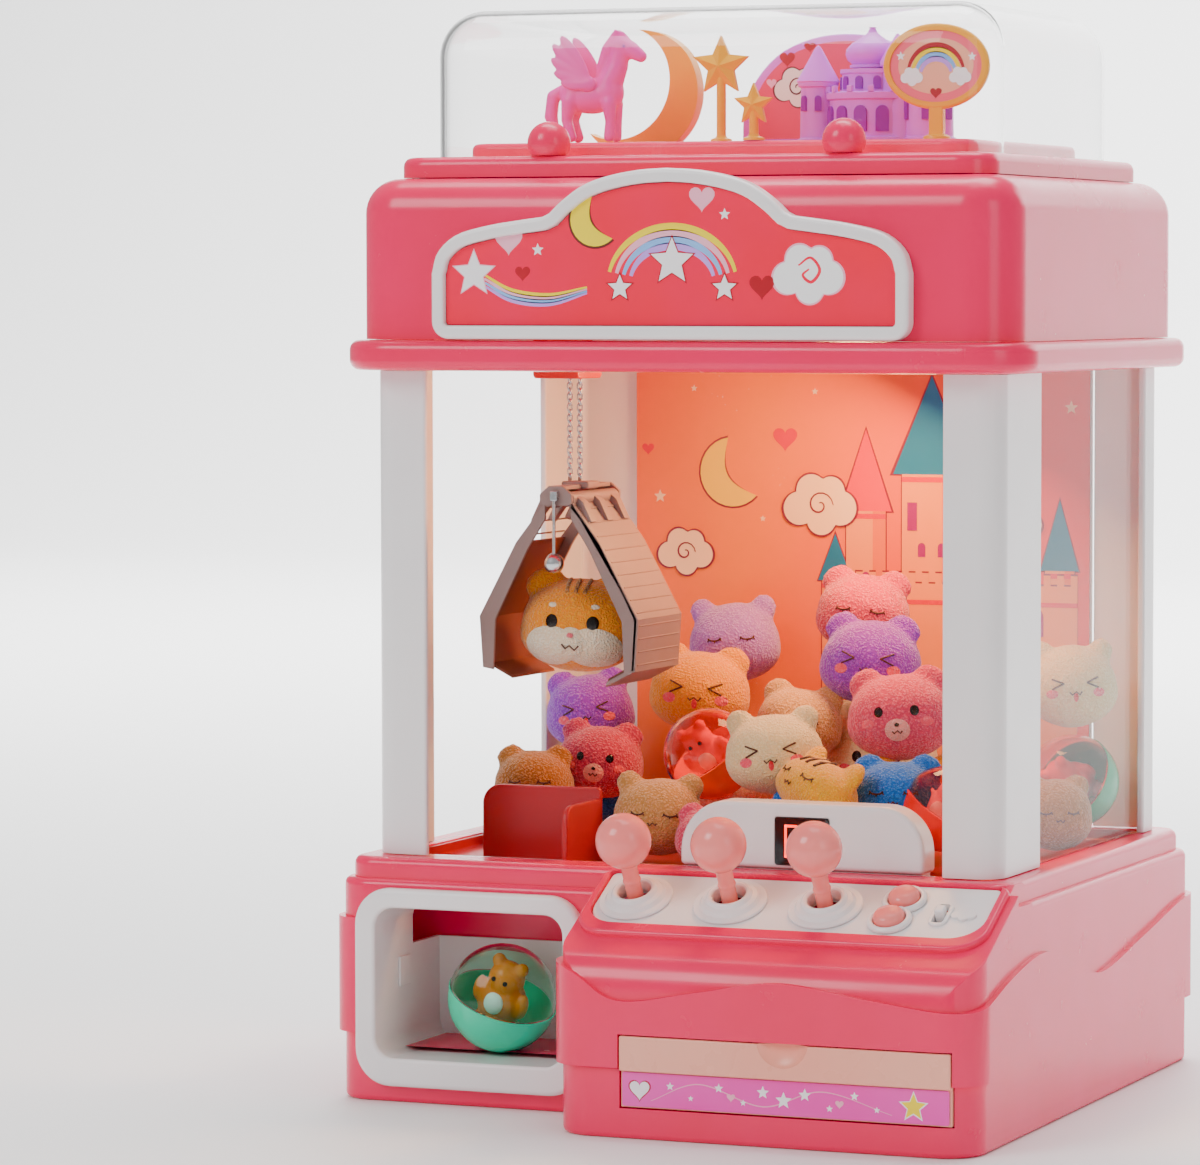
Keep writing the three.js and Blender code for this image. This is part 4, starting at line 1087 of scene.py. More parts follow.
def make_backdrop():
    y = 98.5
    board = paint(block("backdrop_print", -103, 103, y, 99.3, 98.6, 291.9), make_backdrop_ground())
    pieces = [board]
    pieces += outlined(crescent(-58, 246, 15, math.radians(28)),
            crescent(-58, 246, 15.8, math.radians(28), 0.38), y, MOON_INK, LINE)
    pieces.append(ink(heart(-33.7, 261, 5.6), y, BAND))
    pieces.append(ink(heart(-97.6, 255.8, 2.8), y, BAND))
    for x, z, r in ((-92, 235, 3), (94.9, 275, 3), (-76, 282, 1.6), (-20, 281, 1.6), (70, 262, 1.8),
            (-44, 226, 1.5)):
        pieces.append(ink(star(x, z, r), y, CLOUD_INK, 0.05))
    for x, z, r in ((-17.6, 232.3, 15), (-80, 211, 11.5), (72, 226, 9)):
        pieces += outlined(cloud(x, z, r), cloud(x, z, r + 0.9), y - 0.5, CLOUD_INK, LINE)
        swirl = [(x + r * 0.42 * (1 - k / 22) * math.cos(k * 0.42),
                z + r * 0.42 * (1 - k / 22) * math.sin(k * 0.42)) for k in range(20)]
        pieces.append(ink(stroke(swirl, 0.8), y - 0.75, LINE, 0.04))
    pieces += tower_print(90, 6.5, 100, 206, 236, y, ROOF, STONE, 1)
    pieces += tower_print(70, 5.5, 100, 246, 268, y, ROOF, STONE, 1)
    pieces += tower_print(33.3, 13.5, 100, 246, 288, y, ROOF, STONE, 2)
    pieces += tower_print(3.4, 9, 100, 230, 265, y, ROOF_RED, STONE, 1)
    pieces += tower_print(-10.6, 6, 100, 200, 220, y, ROOF, STONE, 1)
    wall = [(-6, 100), (98, 100), (98, 204)]
    for k in range(17):
        x = 98 - 6 * k
        wall += [(x, 204), (x - 3, 204), (x - 3, 199.5), (x - 6, 199.5)]
    pieces += outlined(wall, [(x - 0.5 if x < 0 else x, z + 0.7) for x, z in wall], y - 0.2, STONE, LINE)
    for x in (16, 50, 78):
        arch = [(x - 5, 178), (x + 5, 178)] + arc(x, 186, 5, 0, 180, 10)
        pieces.append(ink(arch, y - 0.44, PANE, 0.05))
    pieces.append(ink(rectangle(-5, 98, 190.5, 192.5), y - 0.42, BAND, 0.05))
    for x in (24.5, 42):
        pieces.append(ink(rectangle(x - 2.2, x + 2.2, 222, 234), y - 0.3, PANE, 0.05))
    seat(together("backdrop_print", pieces), "rear_door", "backdrop")


make_bed()
make_backdrop()


# ---------------------------------------------------------------- crane
HANG_X, HANG_Y, HINGE_Z = -61.0, -60.0, 241.0


def make_gantry():
    for side, sign in (("left", -1), ("right", 1)):
        bar = rod("rail_bar", (sign * 121, -100.1, 299), (sign * 121, 100.1, 299), 2.5, 28, 0.5)
        seat(bar, "cabinet", "rail_" + side, STEEL, 40).name = "rail_rod_" + side
    beam = block("bridge_beam", -116, 116, -55.5, -48.5, 298, 305, 0.8)
    cut(beam, block("groove", -110, 110, -53.2, -50.8, 303.6, 306),
            block("front groove", -110, 110, -56, -55, 300.4, 302.6))
    ends = []
    for sign in (-1, 1):
        end = block("shoe", sign * 121 - 5.6, sign * 121 + 5.6, -60, -44, 294.5, 305, 1.0)
        ends.append(cut(end, rod("bore", (sign * 121, -70, 299), (sign * 121, -34, 299), 2.8, 28)))
    seat(tidy(fuse(beam, *ends)), "bridge", "crane_bridge", WHITE)
    cart = block("trolley_cart", -77.5, -57.5, -71, -45, 289, 309, 1.6, 4)
    cut(cart, block("beam way", -90, -40, -55.8, -48.2, 297.7, 305.3),
            block("chain way", -67.2, -58.8, -63, -59, 280, 320))
    fuse(cart, slab("lip", rounded(rectangle(-77.5, -57.5, -71, -45), 3), 289, 290.5, edge=0.5))
    cut(cart, block("chain way", -67.2, -58.8, -63, -59, 280, 320))
    seat(tidy(cart), "trolley", "crane_trolley", TRAVEL_RED)


def make_chain(name, x):
    ring = primitive("torus", "link", major_segments=14, minor_segments=6, major_radius=1.0,
            minor_radius=0.34)
    edit(ring)
    choose(ring, "verts", lambda v: v.co.x > 0)
    bpy.ops.transform.translate(value=(0.45, 0, 0))
    choose(ring, "verts", lambda v: v.co.x < 0)
    bpy.ops.transform.translate(value=(-0.45, 0, 0))
    leave()
    upright = Matrix.Rotation(math.pi / 2, 4, "Y")
    pieces = []
    count = 36
    for k in range(count):
        z = 249.2 + (326 - 250.6) * k / (count - 1)
        pieces.append(copy_of(ring, "link", Matrix.Translation((x, -61, z))
                @ Matrix.Rotation(math.radians(90 * (k % 2) + 45), 4, "Z") @ upright))
    scrap(ring)
    seat(together("lift_" + name, pieces), "hoist", name, STEEL, 60)


def shell_outline(side, points):
    return [(HANG_X + side * x, z) for x, z in points]


def make_claw():
    y0, y1 = HANG_Y - 23, HANG_Y + 23
    outside = [(4.2, HINGE_Z + 1.5), (18.5, 223.4), (34.8, 193.5), (33.4, 172.6), (20.5, 166.2)]
    inside = [(21, 168.4), (31.5, 173.8), (32.6, 193.2), (16.8, 224.0), (3.4, HINGE_Z - 1.5)]
    for name, side in (("left", -1), ("right", 1)):
        plate = slab("jaw_plate", shell_outline(side, outside + inside), y0, y1, "y", edge=0.5, rounds=3)
        paint(plate, TAUPE)
        lining = [(20.8, 168.6), (31.2, 173.9), (32.3, 193.2), (16.6, 223.8), (15.9, 223.5), (31.5, 193.0),
                (30.4, 174.6), (21.2, 169.6)]
        liner = paint(slab("jaw_lining", shell_outline(side, lining), y0 + 1.9, y1 - 1.9, "y"), BROWN)
        barrel = rod("barrel", (HANG_X + side * 4.2, y0, HINGE_Z), (HANG_X + side * 4.2, y1, HINGE_Z), 3,
                28, 0.4)
        parts = [plate, liner, paint(barrel, TAUPE)]
        cheek = [(5.4, HINGE_Z - 1), (18.5, 223.4), (34.6, 193.5), (33.2, 172.8), (28.5, 172),
                (27.6, 192.4), (13.5, 220.5), (5.6, 233)]
        for y in (y0, y1 - 1.6):
            parts.append(paint(slab("cheek", shell_outline(side, cheek), y, y + 1.6, "y", edge=0.4,
                    rounds=2), TAUPE))
        # Raised ribs lie across the plate's three flats.
        for (ax, az), (bx, bz), count in (((6.5, 240), (18.5, 223.4), 3), ((18.5, 223.4), (34.8, 193.5), 6),
                ((34.8, 193.5), (33.4, 172.6), 4)):
            for k in range(count):
                t = (k + 0.5) / count
                x, z = ax + (bx - ax) * t, az + (bz - az) * t
                parts.append(paint(rod("rib", (HANG_X + side * (x - 0.12), y0 + 2, z),
                        (HANG_X + side * (x - 0.12), y1 - 2, z), 0.36, 8), TAUPE))
        for y in (y0 + 6, HANG_Y, y1 - 6):
            parts.append(paint(slab("clip", shell_outline(side,
                    [(5, HINGE_Z + 2.6), (9.6, HINGE_Z - 1), (13.4, 232.2), (11.4, 231), (6.6, 237.5),
                    (4, 239.5)]),
                                    y - 2.6, y + 2.6, "y", edge=0.4, rounds=2), TAUPE))
        bore = rod("bore", (HANG_X + side * 4.2, y0 - 2, HINGE_Z), (HANG_X + side * 4.2, y1 + 2, HINGE_Z),
                1.5, 24)
        for piece in (plate, barrel, *[p for p in parts if p.name.startswith(("cheek", "clip"))]):
            cut(piece, copy_of(bore, "bore"))
        scrap(bore)
        shell = together("jaw_" + name, parts)
        seat(shell, "claw_" + name, "claw_shell_" + name, None, 30)
    head = block("claw_head", HANG_X - 6, HANG_X + 6, HANG_Y - 6, HANG_Y + 6, 244.6, 247.6, 0.9, 4)
    spine = block("spine", HANG_X - 3, HANG_X + 3, HANG_Y - 25.2, HANG_Y + 25.2, 244.6, 246.4, 0.5)
    parts = [head, spine]
    for side in (-1, 1):
        y = HANG_Y + side * 24.3
        ear = slab("ear", rounded([(HANG_X - 7, 238.5), (HANG_X + 7, 238.5), (HANG_X + 7, 243),
                (HANG_X + 3, 246.4), (HANG_X - 3, 246.4), (HANG_X - 7, 243)],
                                  [2.4, 2.4, 1, 1, 1, 1], 6), y - 0.9, y + 0.9, "y", edge=0.3, rounds=2)
        parts.append(ear)
        parts.append(rod("pin", (HANG_X + side * 4.2, HANG_Y - 24.6, HINGE_Z),
                (HANG_X + side * 4.2, HANG_Y + 24.6, HINGE_Z), 1.2, 20))
    for x in (-65.2, -60.8):
        parts.append(rod("eye", (x, -61, 247.2), (x, -61, 249.2), 0.8, 16, 0.2))
    head = parts[0]
    fuse(head, *parts[1:])
    seat(tidy(head), "hoist", "claw_hub", TAUPE)
    y = HANG_Y - 26.8
    weight = globe("claw_bob", (HANG_X, y, 215.5), 4.1, 40, 26)
    wire = rod("wire", (HANG_X, y, 219), (HANG_X, y, 244), 0.7, 16)
    hook = block("hook", HANG_X - 1.5, HANG_X + 1.5, y - 0.8, HANG_Y - 25.3, 240.5, 244.4, 0.3)
    seat(together("claw_bob", [weight, wire, hook]), "hoist", "claw_weight", STEEL, 60)


make_gantry()
make_chain("chain_left", -65.2)
make_chain("chain_right", -60.8)
make_claw()


# ---------------------------------------------------------------- soft prizes
def plump(obj, most=0.0012):
    """A short inflation under pressure, so the pile cover swells over its stuffing; no point moves far."""
    pick(obj)
    cloth = obj.modifiers.new("Stuffing", "CLOTH")
    cloth.settings.use_pressure = True
    cloth.settings.uniform_pressure_force = 4
    cloth.settings.quality = 3
    cloth.settings.effector_weights.gravity = 0
    cloth.collision_settings.use_collision = False
    before = [v.co.copy() for v in obj.data.vertices]
    for step in range(1, 15):
        bpy.context.scene.frame_set(step)
    swollen = obj.evaluated_get(bpy.context.evaluated_depsgraph_get()).data
    after = [v.co.copy() for v in swollen.vertices]
    obj.modifiers.remove(cloth)
    bpy.context.scene.frame_set(1)
    for vertex, old, new in zip(obj.data.vertices, before, after):
        step = new - old
        vertex.co = old + (step if step.length < most else step.normalized() * most)
    return obj


def swell(obj, amount):
    """Moves every point along its normal by what amount gives for its place."""
    points = [(v.co.copy(), v.normal.copy()) for v in obj.data.vertices]
    for vertex, (place, normal) in zip(obj.data.vertices, points):
        vertex.co = place + normal * amount(place)


PLUSH_VOXEL = 1.25

EARS = {
    "bear": [((-0.62, 0.0, 0.74), 0.36, 1.0), ((0.62, 0.0, 0.74), 0.36, 1.0)],
    "cat": [((-0.66, 0.0, 0.72), 0.30, 1.35), ((0.66, 0.0, 0.72), 0.30, 1.35)],
}


class Head:
    """A stuffed head: where its middle is, which way it looks, and how it is tipped."""

    def __init__(self, name, centre, radii, look, tip=0.0, ears="bear"):
        self.name, self.centre, self.radii = name, Vector(centre), Vector(radii)
        forward = Vector(look).normalized()
        turn = forward.to_track_quat("-Y", "Z").to_matrix().to_4x4() @ Matrix.Rotation(math.radians(tip), 4,
                "Y")
        self.frame = Matrix.Translation(self.centre) @ turn
        self.ears = ears

    def build(self, material, fill=0.85):
        rx, ry, rz = self.radii
        parts = [globe("body", (0, 0, -0.04 * rz), (rx, ry, rz * 0.93), 28, 18),
                globe("jowl", (0, 0, -0.2 * rz), (rx * 1.02, ry * 0.97, rz * 0.76), 28, 16)]
        for (ex, ey, ez), size, tall in EARS[self.ears]:
            ear = globe("ear", (0, 0, 0), (rx * size, ry * 0.2 if self.ears == "bear" else ry * 0.22,
                    rx * size * tall * 0.8), 16, 12)
            lean = Matrix.Rotation(math.radians(28 if ex > 0 else -28), 4, "Y")
            parts.append(set_matrix(ear, Matrix.Translation((ex * rx, ey * ry, ez * rz * 0.98)) @ lean))
        obj = together(self.name, parts)
        modify(obj, "REMESH", mode="VOXEL", voxel_size=PLUSH_VOXEL)
        modify(obj, "SMOOTH", factor=0.6, iterations=5)
        set_matrix(obj, self.frame)
        set_matrix(obj, TO_PART)
        plump(obj)
        swell(obj, lambda p: noise.noise(p * 70) * 0.0005 + noise.noise(p * 300) * 0.00012)
        modify(obj, "SUBSURF", levels=1, render_levels=1)
        swell(obj, lambda p: noise.noise(Vector((p.x * 700, p.y * 700, p.z * 1500))) * 0.00013)
        pick(obj)
        bpy.ops.object.shade_smooth()
        paint(obj, material)
        self.skin = obj
        self.fill = fill
        return self

    def point(self, a, b, lift=0.0):
        """A place on the face: a to its right as seen, b up, found by looking in from the front."""
        to_part = TO_PART @ self.frame
        toward = (to_part.to_3x3() @ Vector((0, 1, 0))).normalized()
        for attempt in range(30):
            hit, place, normal, _ = self.skin.ray_cast(to_part @ Vector((a, -60, b)), toward)
            if hit:
                break
            a, b = a * 0.96, b * 0.96
        return place + normal * lift * 0.001, normal

    def thread(self, points, width, material, lift=0.15):
        """A line of embroidery that follows the pile."""
        curve = bpy.data.curves.new("stitch", "CURVE")
        curve.dimensions = "3D"
        curve.bevel_depth = width * 0.0005
        curve.bevel_resolution = 2
        curve.use_fill_caps = True
        spline = curve.splines.new("POLY")
        spline.points.add(len(points) - 1)
        for spot, (a, b) in zip(spline.points, points):
            spot.co = (*self.point(a, b, lift)[0], 1)
        line = bpy.data.objects.new("stitch", curve)
        bpy.context.collection.objects.link(line)
        pick(line)
        bpy.ops.object.convert(target="MESH")
        return paint(bpy.context.active_object, material)

    def patch(self, a, b, wide, tall, material, thick=0.5, rings=3):
        """A soft oval set on the face."""
        disc = primitive("circle", "patch", vertices=20, radius=1, fill_type="TRIFAN")
        edit(disc)
        bpy.ops.mesh.select_all(action="SELECT")
        bpy.ops.mesh.subdivide(number_cuts=rings - 1)
        leave()
        for vertex in disc.data.vertices:
            u, v = vertex.co.x, vertex.co.y
            dome_ = max(0.0, 1 - (u * u + v * v)) ** 0.5
            vertex.co = self.point(a + u * wide, b + v * tall, 0.05 + thick * dome_)[0]
        pick(disc)
        bpy.ops.object.shade_smooth()
        return paint(disc, material)

    def finish(self, body, slot, pieces, replaces=()):
        face = together(self.name, [self.skin, *pieces])
        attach(face, body)
        if replaces:
            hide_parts(*replaces)
        return face


THREAD = plastic("Stitch brown", "#4a2a20", "#553228", polish=0.6, grain=0.2)
# Each pile's second colour is its darker ground: painted shade between the loops.
BLUSH = terry("Blush pile", "#ff8f9a", "#e86878", 900)
BLUSH_PALE = terry("Pale muzzle pile", "#ffc9c2", "#eaa39c", 1200)
TONGUE = terry("Tongue felt", "#ff6f74", "#e2505a", 900)
EYE_BLACK = plastic("Eye bead black", "#140c0a", "#1b110e", polish=0.1, grain=0.0)
NOSE_PINK = terry("Nose felt", "#ff8a90", "#e8707a", 900)


def squint(head, a, b, size, inward):
    """One tightly shut eye: two short lines that meet at a point."""
    s = size * inward
    upper = [(a - s, b + size * 0.75), (a - s * 0.2, b + size * 0.4), (a + s * 0.7, b)]
    lower = [(a + s * 0.7, b), (a - s * 0.2, b - size * 0.4), (a - s, b - size * 0.75)]
    return [head.thread(upper, 0.75, THREAD), head.thread(lower, 0.75, THREAD)]


def asleep(head, a, b, size):
    lid = [(a + size * math.cos(t), b - size * 0.45 * math.sin(t))
            for t in [math.pi * k / 8 for k in range(9)]]
    made = [head.thread(lid, 0.75, THREAD)]
    for k in (1, 4, 7):
        x, z = lid[k]
        made.append(head.thread([(x, z), (x + (k - 4) * -0.18, z - size * 0.35)], 0.55, THREAD))
    return made


def mouth(head, a, b, size, open_=True):
    smile = [(a - size, b + 0.2 * size), (a - size * 0.6, b - 0.25 * size), (a, b + 0.25 * size),
            (a + size * 0.6, b - 0.25 * size), (a + size, b + 0.2 * size)]
    made = [head.thread(smile, 0.65, THREAD, 1.0)]
    if open_:
        made.append(head.patch(a, b - size * 0.75, size * 0.42, size * 0.75, TONGUE, 0.35))
    return made


def face_for(head, kind):
    r = head.radii.x
    made = []
    if kind == "squint":
        made += squint(head, -r * 0.36, r * 0.02, r * 0.15, 1) + squint(head, r * 0.36, r * 0.02, r * 0.15,
                -1)
        made += mouth(head, 0, -r * 0.2, r * 0.13)
        made += [head.patch(-r * 0.52, -r * 0.2, r * 0.13, r * 0.1, BLUSH, 0.2),
                head.patch(r * 0.52, -r * 0.2, r * 0.13, r * 0.1, BLUSH, 0.2)]
    elif kind == "asleep":
        made += asleep(head, -r * 0.36, r * 0.04, r * 0.14) + asleep(head, r * 0.36, r * 0.04, r * 0.14)
        made += mouth(head, 0, -r * 0.2, r * 0.1, False)
    elif kind == "awake":
        made += [head.patch(-r * 0.34, r * 0.05, r * 0.085, r * 0.1, EYE_BLACK, 0.6),
                head.patch(r * 0.34, r * 0.05, r * 0.085, r * 0.1, EYE_BLACK, 0.6)]
        made.append(head.patch(0, -r * 0.3, r * 0.24, r * 0.21, BLUSH_PALE, 0.9))
        made += mouth(head, 0, -r * 0.33, r * 0.09, False)
        made.append(head.patch(0, -r * 0.2, r * 0.055, r * 0.045, EYE_BLACK, 1.6))
        made += [head.patch(-r * 0.56, -r * 0.16, r * 0.12, r * 0.09, BLUSH, 0.2),
                head.patch(r * 0.56, -r * 0.16, r * 0.12, r * 0.09, BLUSH, 0.2)]
    return made


TOWARDS = (0.26, -1.0, 0.12)
# Each pile's second colour is its darker ground: painted shade between the loops.
PILES = {
    "purple": terry("Purple pile", "#b878e0", "#8a4fb8"), "rose": terry("Rose pile", "#e06a86", "#b04460"),
    "brown": terry("Brown pile", "#b9764a", "#8a5030"), "beige": terry("Beige pile", "#e0b080", "#b88858"),
    "yellow": terry("Yellow pile", "#ffba26", "#e0960c"), "lavender": terry("Lavender pile", "#cfa8ee",
    "#a880d0"),
    "cream": terry("Cream pile", "#fff0c8", "#e6cfa0"), "tiger": terry("Tiger pile", "#ffcb36", "#e0a01c"),
    "pink": terry("Pink pile", "#f28094", "#cc5068"), "blue": terry("Blue pile", "#5f9cf0", "#3c70c8"),
    "tan": terry("Tan pile", "#f2cda0", "#cca070"), "gold": terry("Gold pile", "#ffae1c", "#e68a0c"),
    "white": terry("White pile", "#fff2e2", "#ead2b6"), "tea": terry("Tea pile", "#c8935e", "#9c6a3c"),
}

PRIZES = (
    ("prize_purple_left", (-106.5, 55, 144.4), (19, 16, 17.5), "purple", "bear", "squint", TOWARDS, -6,
    "lilac_plush", ("prizes_left",)),
    ("prize_rose", (-87, 20, 126.5), (18.5, 16, 16.5), "rose", "bear", "awake", TOWARDS, 5, "rose_plush",
    ()),
    ("prize_brown_left", (-106.5, -4, 118.5), (17, 15, 15.5), "tea", "bear", "asleep", TOWARDS, 0,
    "lilac_plush", ()),
    ("prize_blue_left", (-100, 52, 110), (19, 18, 16.5), "blue", "bear", "asleep", TOWARDS, 0,
    "lilac_plush", ()),
    ("prize_beige_cat", (-30.4, -52, 112.3), (18.5, 15.5, 17), "beige", "cat", "asleep", TOWARDS, 3,
    "cream_plush", ("prizes_middle",)),
    ("prize_yellow", (-51.5, 45, 155.4), (21.5, 17, 18.5), "yellow", "bear", "squint", TOWARDS, 4,
    "cream_plush", ()),
    ("prize_lavender_cat", (-48, 76, 174.5), (19.5, 16, 18.5), "lavender", "cat", "asleep", TOWARDS, -4,
    "cream_plush", ()),
    ("prize_cream_cat", (13.5, -35, 138), (20, 16.5, 17.5), "cream", "cat", "squint", TOWARDS, -5,
    "cream_plush", ()),
    ("prize_tiger", (42, -60, 126), (24, 14, 13.5), "tiger", "cat", "asleep", (-0.5, -0.7, 0.6), 10,
    "cream_plush", ()),
    ("prize_tan", (4, 18, 146), (18, 17, 15.5), "tan", "bear", "asleep", TOWARDS, 8, "cream_plush", ()),
    ("prize_white_low", (-44, 58, 118), (21, 20, 18), "white", "bear", "awake", TOWARDS, 0, "cream_plush",
    ()),
    ("prize_rose_low", (0, -66, 106), (16, 13, 13), "pink", "bear", "awake", TOWARDS, 0, "cream_plush", ()),
    ("prize_teal_low", (33, -38, 108), (20, 17, 15), "blue", "bear", "asleep", TOWARDS, 0, "cream_plush",
    ()),
    ("prize_pink_bear", (54.7, 0, 151.5), (21.5, 17, 19), "pink", "bear", "awake", TOWARDS, -4,
    "rose_plush", ("prizes_right",)),
    ("prize_purple", (31, 30, 171), (21, 17, 19), "purple", "bear", "squint", TOWARDS, 3, "rose_plush", ()),
    ("prize_rose_back", (16, 62, 189), (20, 17, 18), "pink", "bear", "asleep", TOWARDS, 6, "rose_plush",
    ()),
    ("prize_blue", (70, -46, 124), (19, 15.5, 14.5), "blue", "bear", "asleep", TOWARDS, 0, "rose_plush",
    ()),
    ("prize_gold_low", (62, -4, 115), (23, 22, 20), "gold", "bear", "awake", TOWARDS, 0, "rose_plush", ()),
    ("prize_cream_mid", (30, 46, 128), (24, 26, 26), "cream", "cat", "awake", TOWARDS, 0, "rose_plush", ()),
    ("prize_cream_right", (107, 64, 160.9), (18.5, 16, 18.5), "cream", "cat", "squint", (0.42, -1, 0.1), -3,
    "ivory_plush", ("prizes_side",)),
    ("prize_brown_right", (110, 32, 110.5), (15.5, 15.5, 16), "tea", "bear", "asleep", (0.5, -1, 0.1), 0,
    "ivory_plush", ()),
)


def make_prizes():
    for name, centre, radii, pile, ears, mood, look, tip, slot, stands in PRIZES:
        head = Head(name, centre, radii, look, tip, ears).build(PILES[pile])
        extra = face_for(head, mood)
        if name == "prize_tiger":
            for a in (-5, 0, 5):
                extra.append(head.thread([(a, 11.5), (a * 1.1, 8.2), (a * 1.2, 5.6)], 1.5, THREAD))
        head.finish("cabinet", slot, extra, stands)
    dog = Head("prize_in_claw", (HANG_X, HANG_Y, 190), (24.5, 18.5, 20.5), (0.2, -1, 0.02), 3,
            "bear").build(PILES["gold"])
    face = [dog.patch(-8.4, 1.0, 2.5, 2.9, EYE_BLACK, 0.8), dog.patch(8.4, 1.0, 2.5, 2.9, EYE_BLACK, 0.8),
            dog.patch(-8.8, 7.6, 1.7, 1.0, PILES["white"], 0.3),
            dog.patch(8.8, 7.6, 1.7, 1.0, PILES["white"], 0.3)]
    for side in (-1, 1):
        face.append(dog.patch(side * 8.6, -8.8, 11.4, 8.0, PILES["white"], 1.1, 5))
    face.append(dog.patch(0, -7.6, 6.2, 6.8, PILES["white"], 2.2, 5))
    muzzle = [(-3.2, -7.4), (-1.6, -9), (0, -7.6), (1.6, -9), (3.2, -7.4)]
    face += [dog.patch(0, -3.9, 1.9, 1.4, NOSE_PINK, 3.0), dog.thread(muzzle, 0.7, THREAD, 2.4)]
    for a in (-4.5, 0, 4.5):
        face.append(dog.thread([(a, 19), (a * 0.9, 15.5), (a * 0.8, 12.6)], 1.6, PILES["tea"], 0.3))
    dog.finish("hoist", "orange_plush", face, ("held_plush",))


def capsule(name, centre, radius, turn, cup_material, lid_material, inside):
    """A toy capsule: a coloured cup with a stepped rim, a clear lid, and a little soft toy inside."""
    at = Matrix.Translation(centre) @ turn
    def bowl(r, t, low, high):
        outer = [(r * math.cos(math.radians(a)), r * math.sin(math.radians(a)))
                for a in range(low, high + 1, 6)]
        inner = [((r - t) * math.cos(math.radians(a)), (r - t) * math.sin(math.radians(a)))
                for a in range(high, low - 1, -6)]
        return outer, inner
    outer, inner = bowl(radius, 1.2, -90, 0)
    cup = turned(name + "_cup", [(0, -radius)] + outer[1:] + [(radius + 0.25, 0.0), (radius + 0.25, 0.8),
            (radius - 1.1, 0.8)] + inner[:-1] + [(0, -radius + 1.2)], steps=48, matrix=at)
    outer, inner = bowl(radius, 1.2, 6, 90)
    lid = turned(name + "_lid", [(radius - 1.2, 1.0), (radius, 1.0)] + outer[:-1] + [(0, radius)]
            + [(0, radius - 1.2)] + inner[1:] + [(radius - 1.2, 1.0)], steps=48, matrix=at)
    toy = [globe("toy", (0, 0, -1), (radius * 0.46, radius * 0.4, radius * 0.5), 24, 16),
           globe("toy head", (0, -1, radius * 0.42), radius * 0.34, 24, 16)]
    for side in (-1, 1):
        toy.append(globe("toy ear", (side * radius * 0.24, -1, radius * 0.7), radius * 0.13, 14, 10))
        toy.append(globe("toy arm", (side * radius * 0.44, -2, 1),
                (radius * 0.13, radius * 0.12, radius * 0.26), 14, 10))
        toy.append(globe("toy leg", (side * radius * 0.24, -3, -radius * 0.5),
                (radius * 0.17, radius * 0.2, radius * 0.22), 14, 10))
    figure = together(name + "_toy", toy)
    modify(figure, "REMESH", mode="VOXEL", voxel_size=0.8)
    modify(figure, "SMOOTH", factor=0.5, iterations=3)
    paint(figure, inside)
    eyes = [paint(globe("toy eye", (side * radius * 0.12, -1 - radius * 0.32, radius * 0.47),
            radius * 0.045, 12, 8), EYE_BLACK) for side in (-1, 1)]
    belly = paint(globe("toy belly", (0, -radius * 0.33, 0), (radius * 0.2, radius * 0.12, radius * 0.22),
            16, 10), INK_WHITE)
    figure = set_matrix(together(name + "_toy", [figure, *eyes, belly]), at)
    seat(cup, "cabinet", (), cup_material, 50)
    seat(lid, "cabinet", (), lid_material, 50)
    seat(figure, "cabinet", (), None, 60)
    return cup, lid, figure


ORANGE_TOY = plastic("Toy orange", "#ff7a1c", "#ff8a2e", polish=0.25, Subsurface_Weight=0.15)
RED_TOY = plastic("Toy red", "#f0384a", "#f54a58", polish=0.3)
PINK_TOY = plastic("Toy pink", "#ff9ab0", "#ffa6ba", polish=0.3)
CUP_ORANGE = plastic("Capsule orange", "#ff6a2c", "#ff7636", polish=0.14)
CUP_RED = plastic("Capsule red", "#e8283c", "#ee3446", polish=0.14)
CUP_GREEN = plastic("Capsule green", "#0fa878", "#18b484", polish=0.14)

make_prizes()
bay_turn = Matrix.Rotation(0.38, 4, "Y") @ Matrix.Rotation(0.2, 4, "X")
cup, lid, toy = capsule("bay_capsule", (-81.4, -93, 40.6), 22, bay_turn, TEAL, GREEN_CLEAR, ORANGE_TOY)
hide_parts("bay_capsule_cup")
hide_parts("bay_capsule_lid")
capsule("capsule_orange", (-25, -10, 134), 19, Matrix.Rotation(-0.5, 4, "Y") @ Matrix.Rotation(0.5, 4, "X"),
        CUP_ORANGE, RED_CLEAR, RED_TOY)
capsule("capsule_red", (90, -48, 119), 17, Matrix.Rotation(0.6, 4, "Y"), CUP_RED, RED_CLEAR, PINK_TOY)
capsule("capsule_green", (106.5, 66, 120.5), 19.5, Matrix.Rotation(-0.7, 4, "Y") @ Matrix.Rotation(0.9, 4,
        "X"), CUP_GREEN, RED_CLEAR, RED_TOY)


# ---------------------------------------------------------------- scene under the dome
FOOT = DECK_Z + GAP


def melt(name, parts, voxel, rounds=4, keep_shape=0.5):
    obj = together(name, parts)
    modify(obj, "REMESH", mode="VOXEL", voxel_size=voxel)
    modify(obj, "SMOOTH", factor=keep_shape, iterations=rounds)
    return obj


def limb(name, path, radii):
    """A tapering run of beads, close enough to melt into one limb."""
    parts = []
    for (a, ra), (b, rb) in zip(zip(path, radii), list(zip(path, radii))[1:]):
        a, b = Vector(a), Vector(b)
        steps = max(2, int((b - a).length / (min(ra, rb) * 0.55)))
        for k in range(steps + 1):
            t = k / steps
            parts.append(globe(name, a.lerp(b, t), ra + (rb - ra) * t, 12, 8))
    return parts


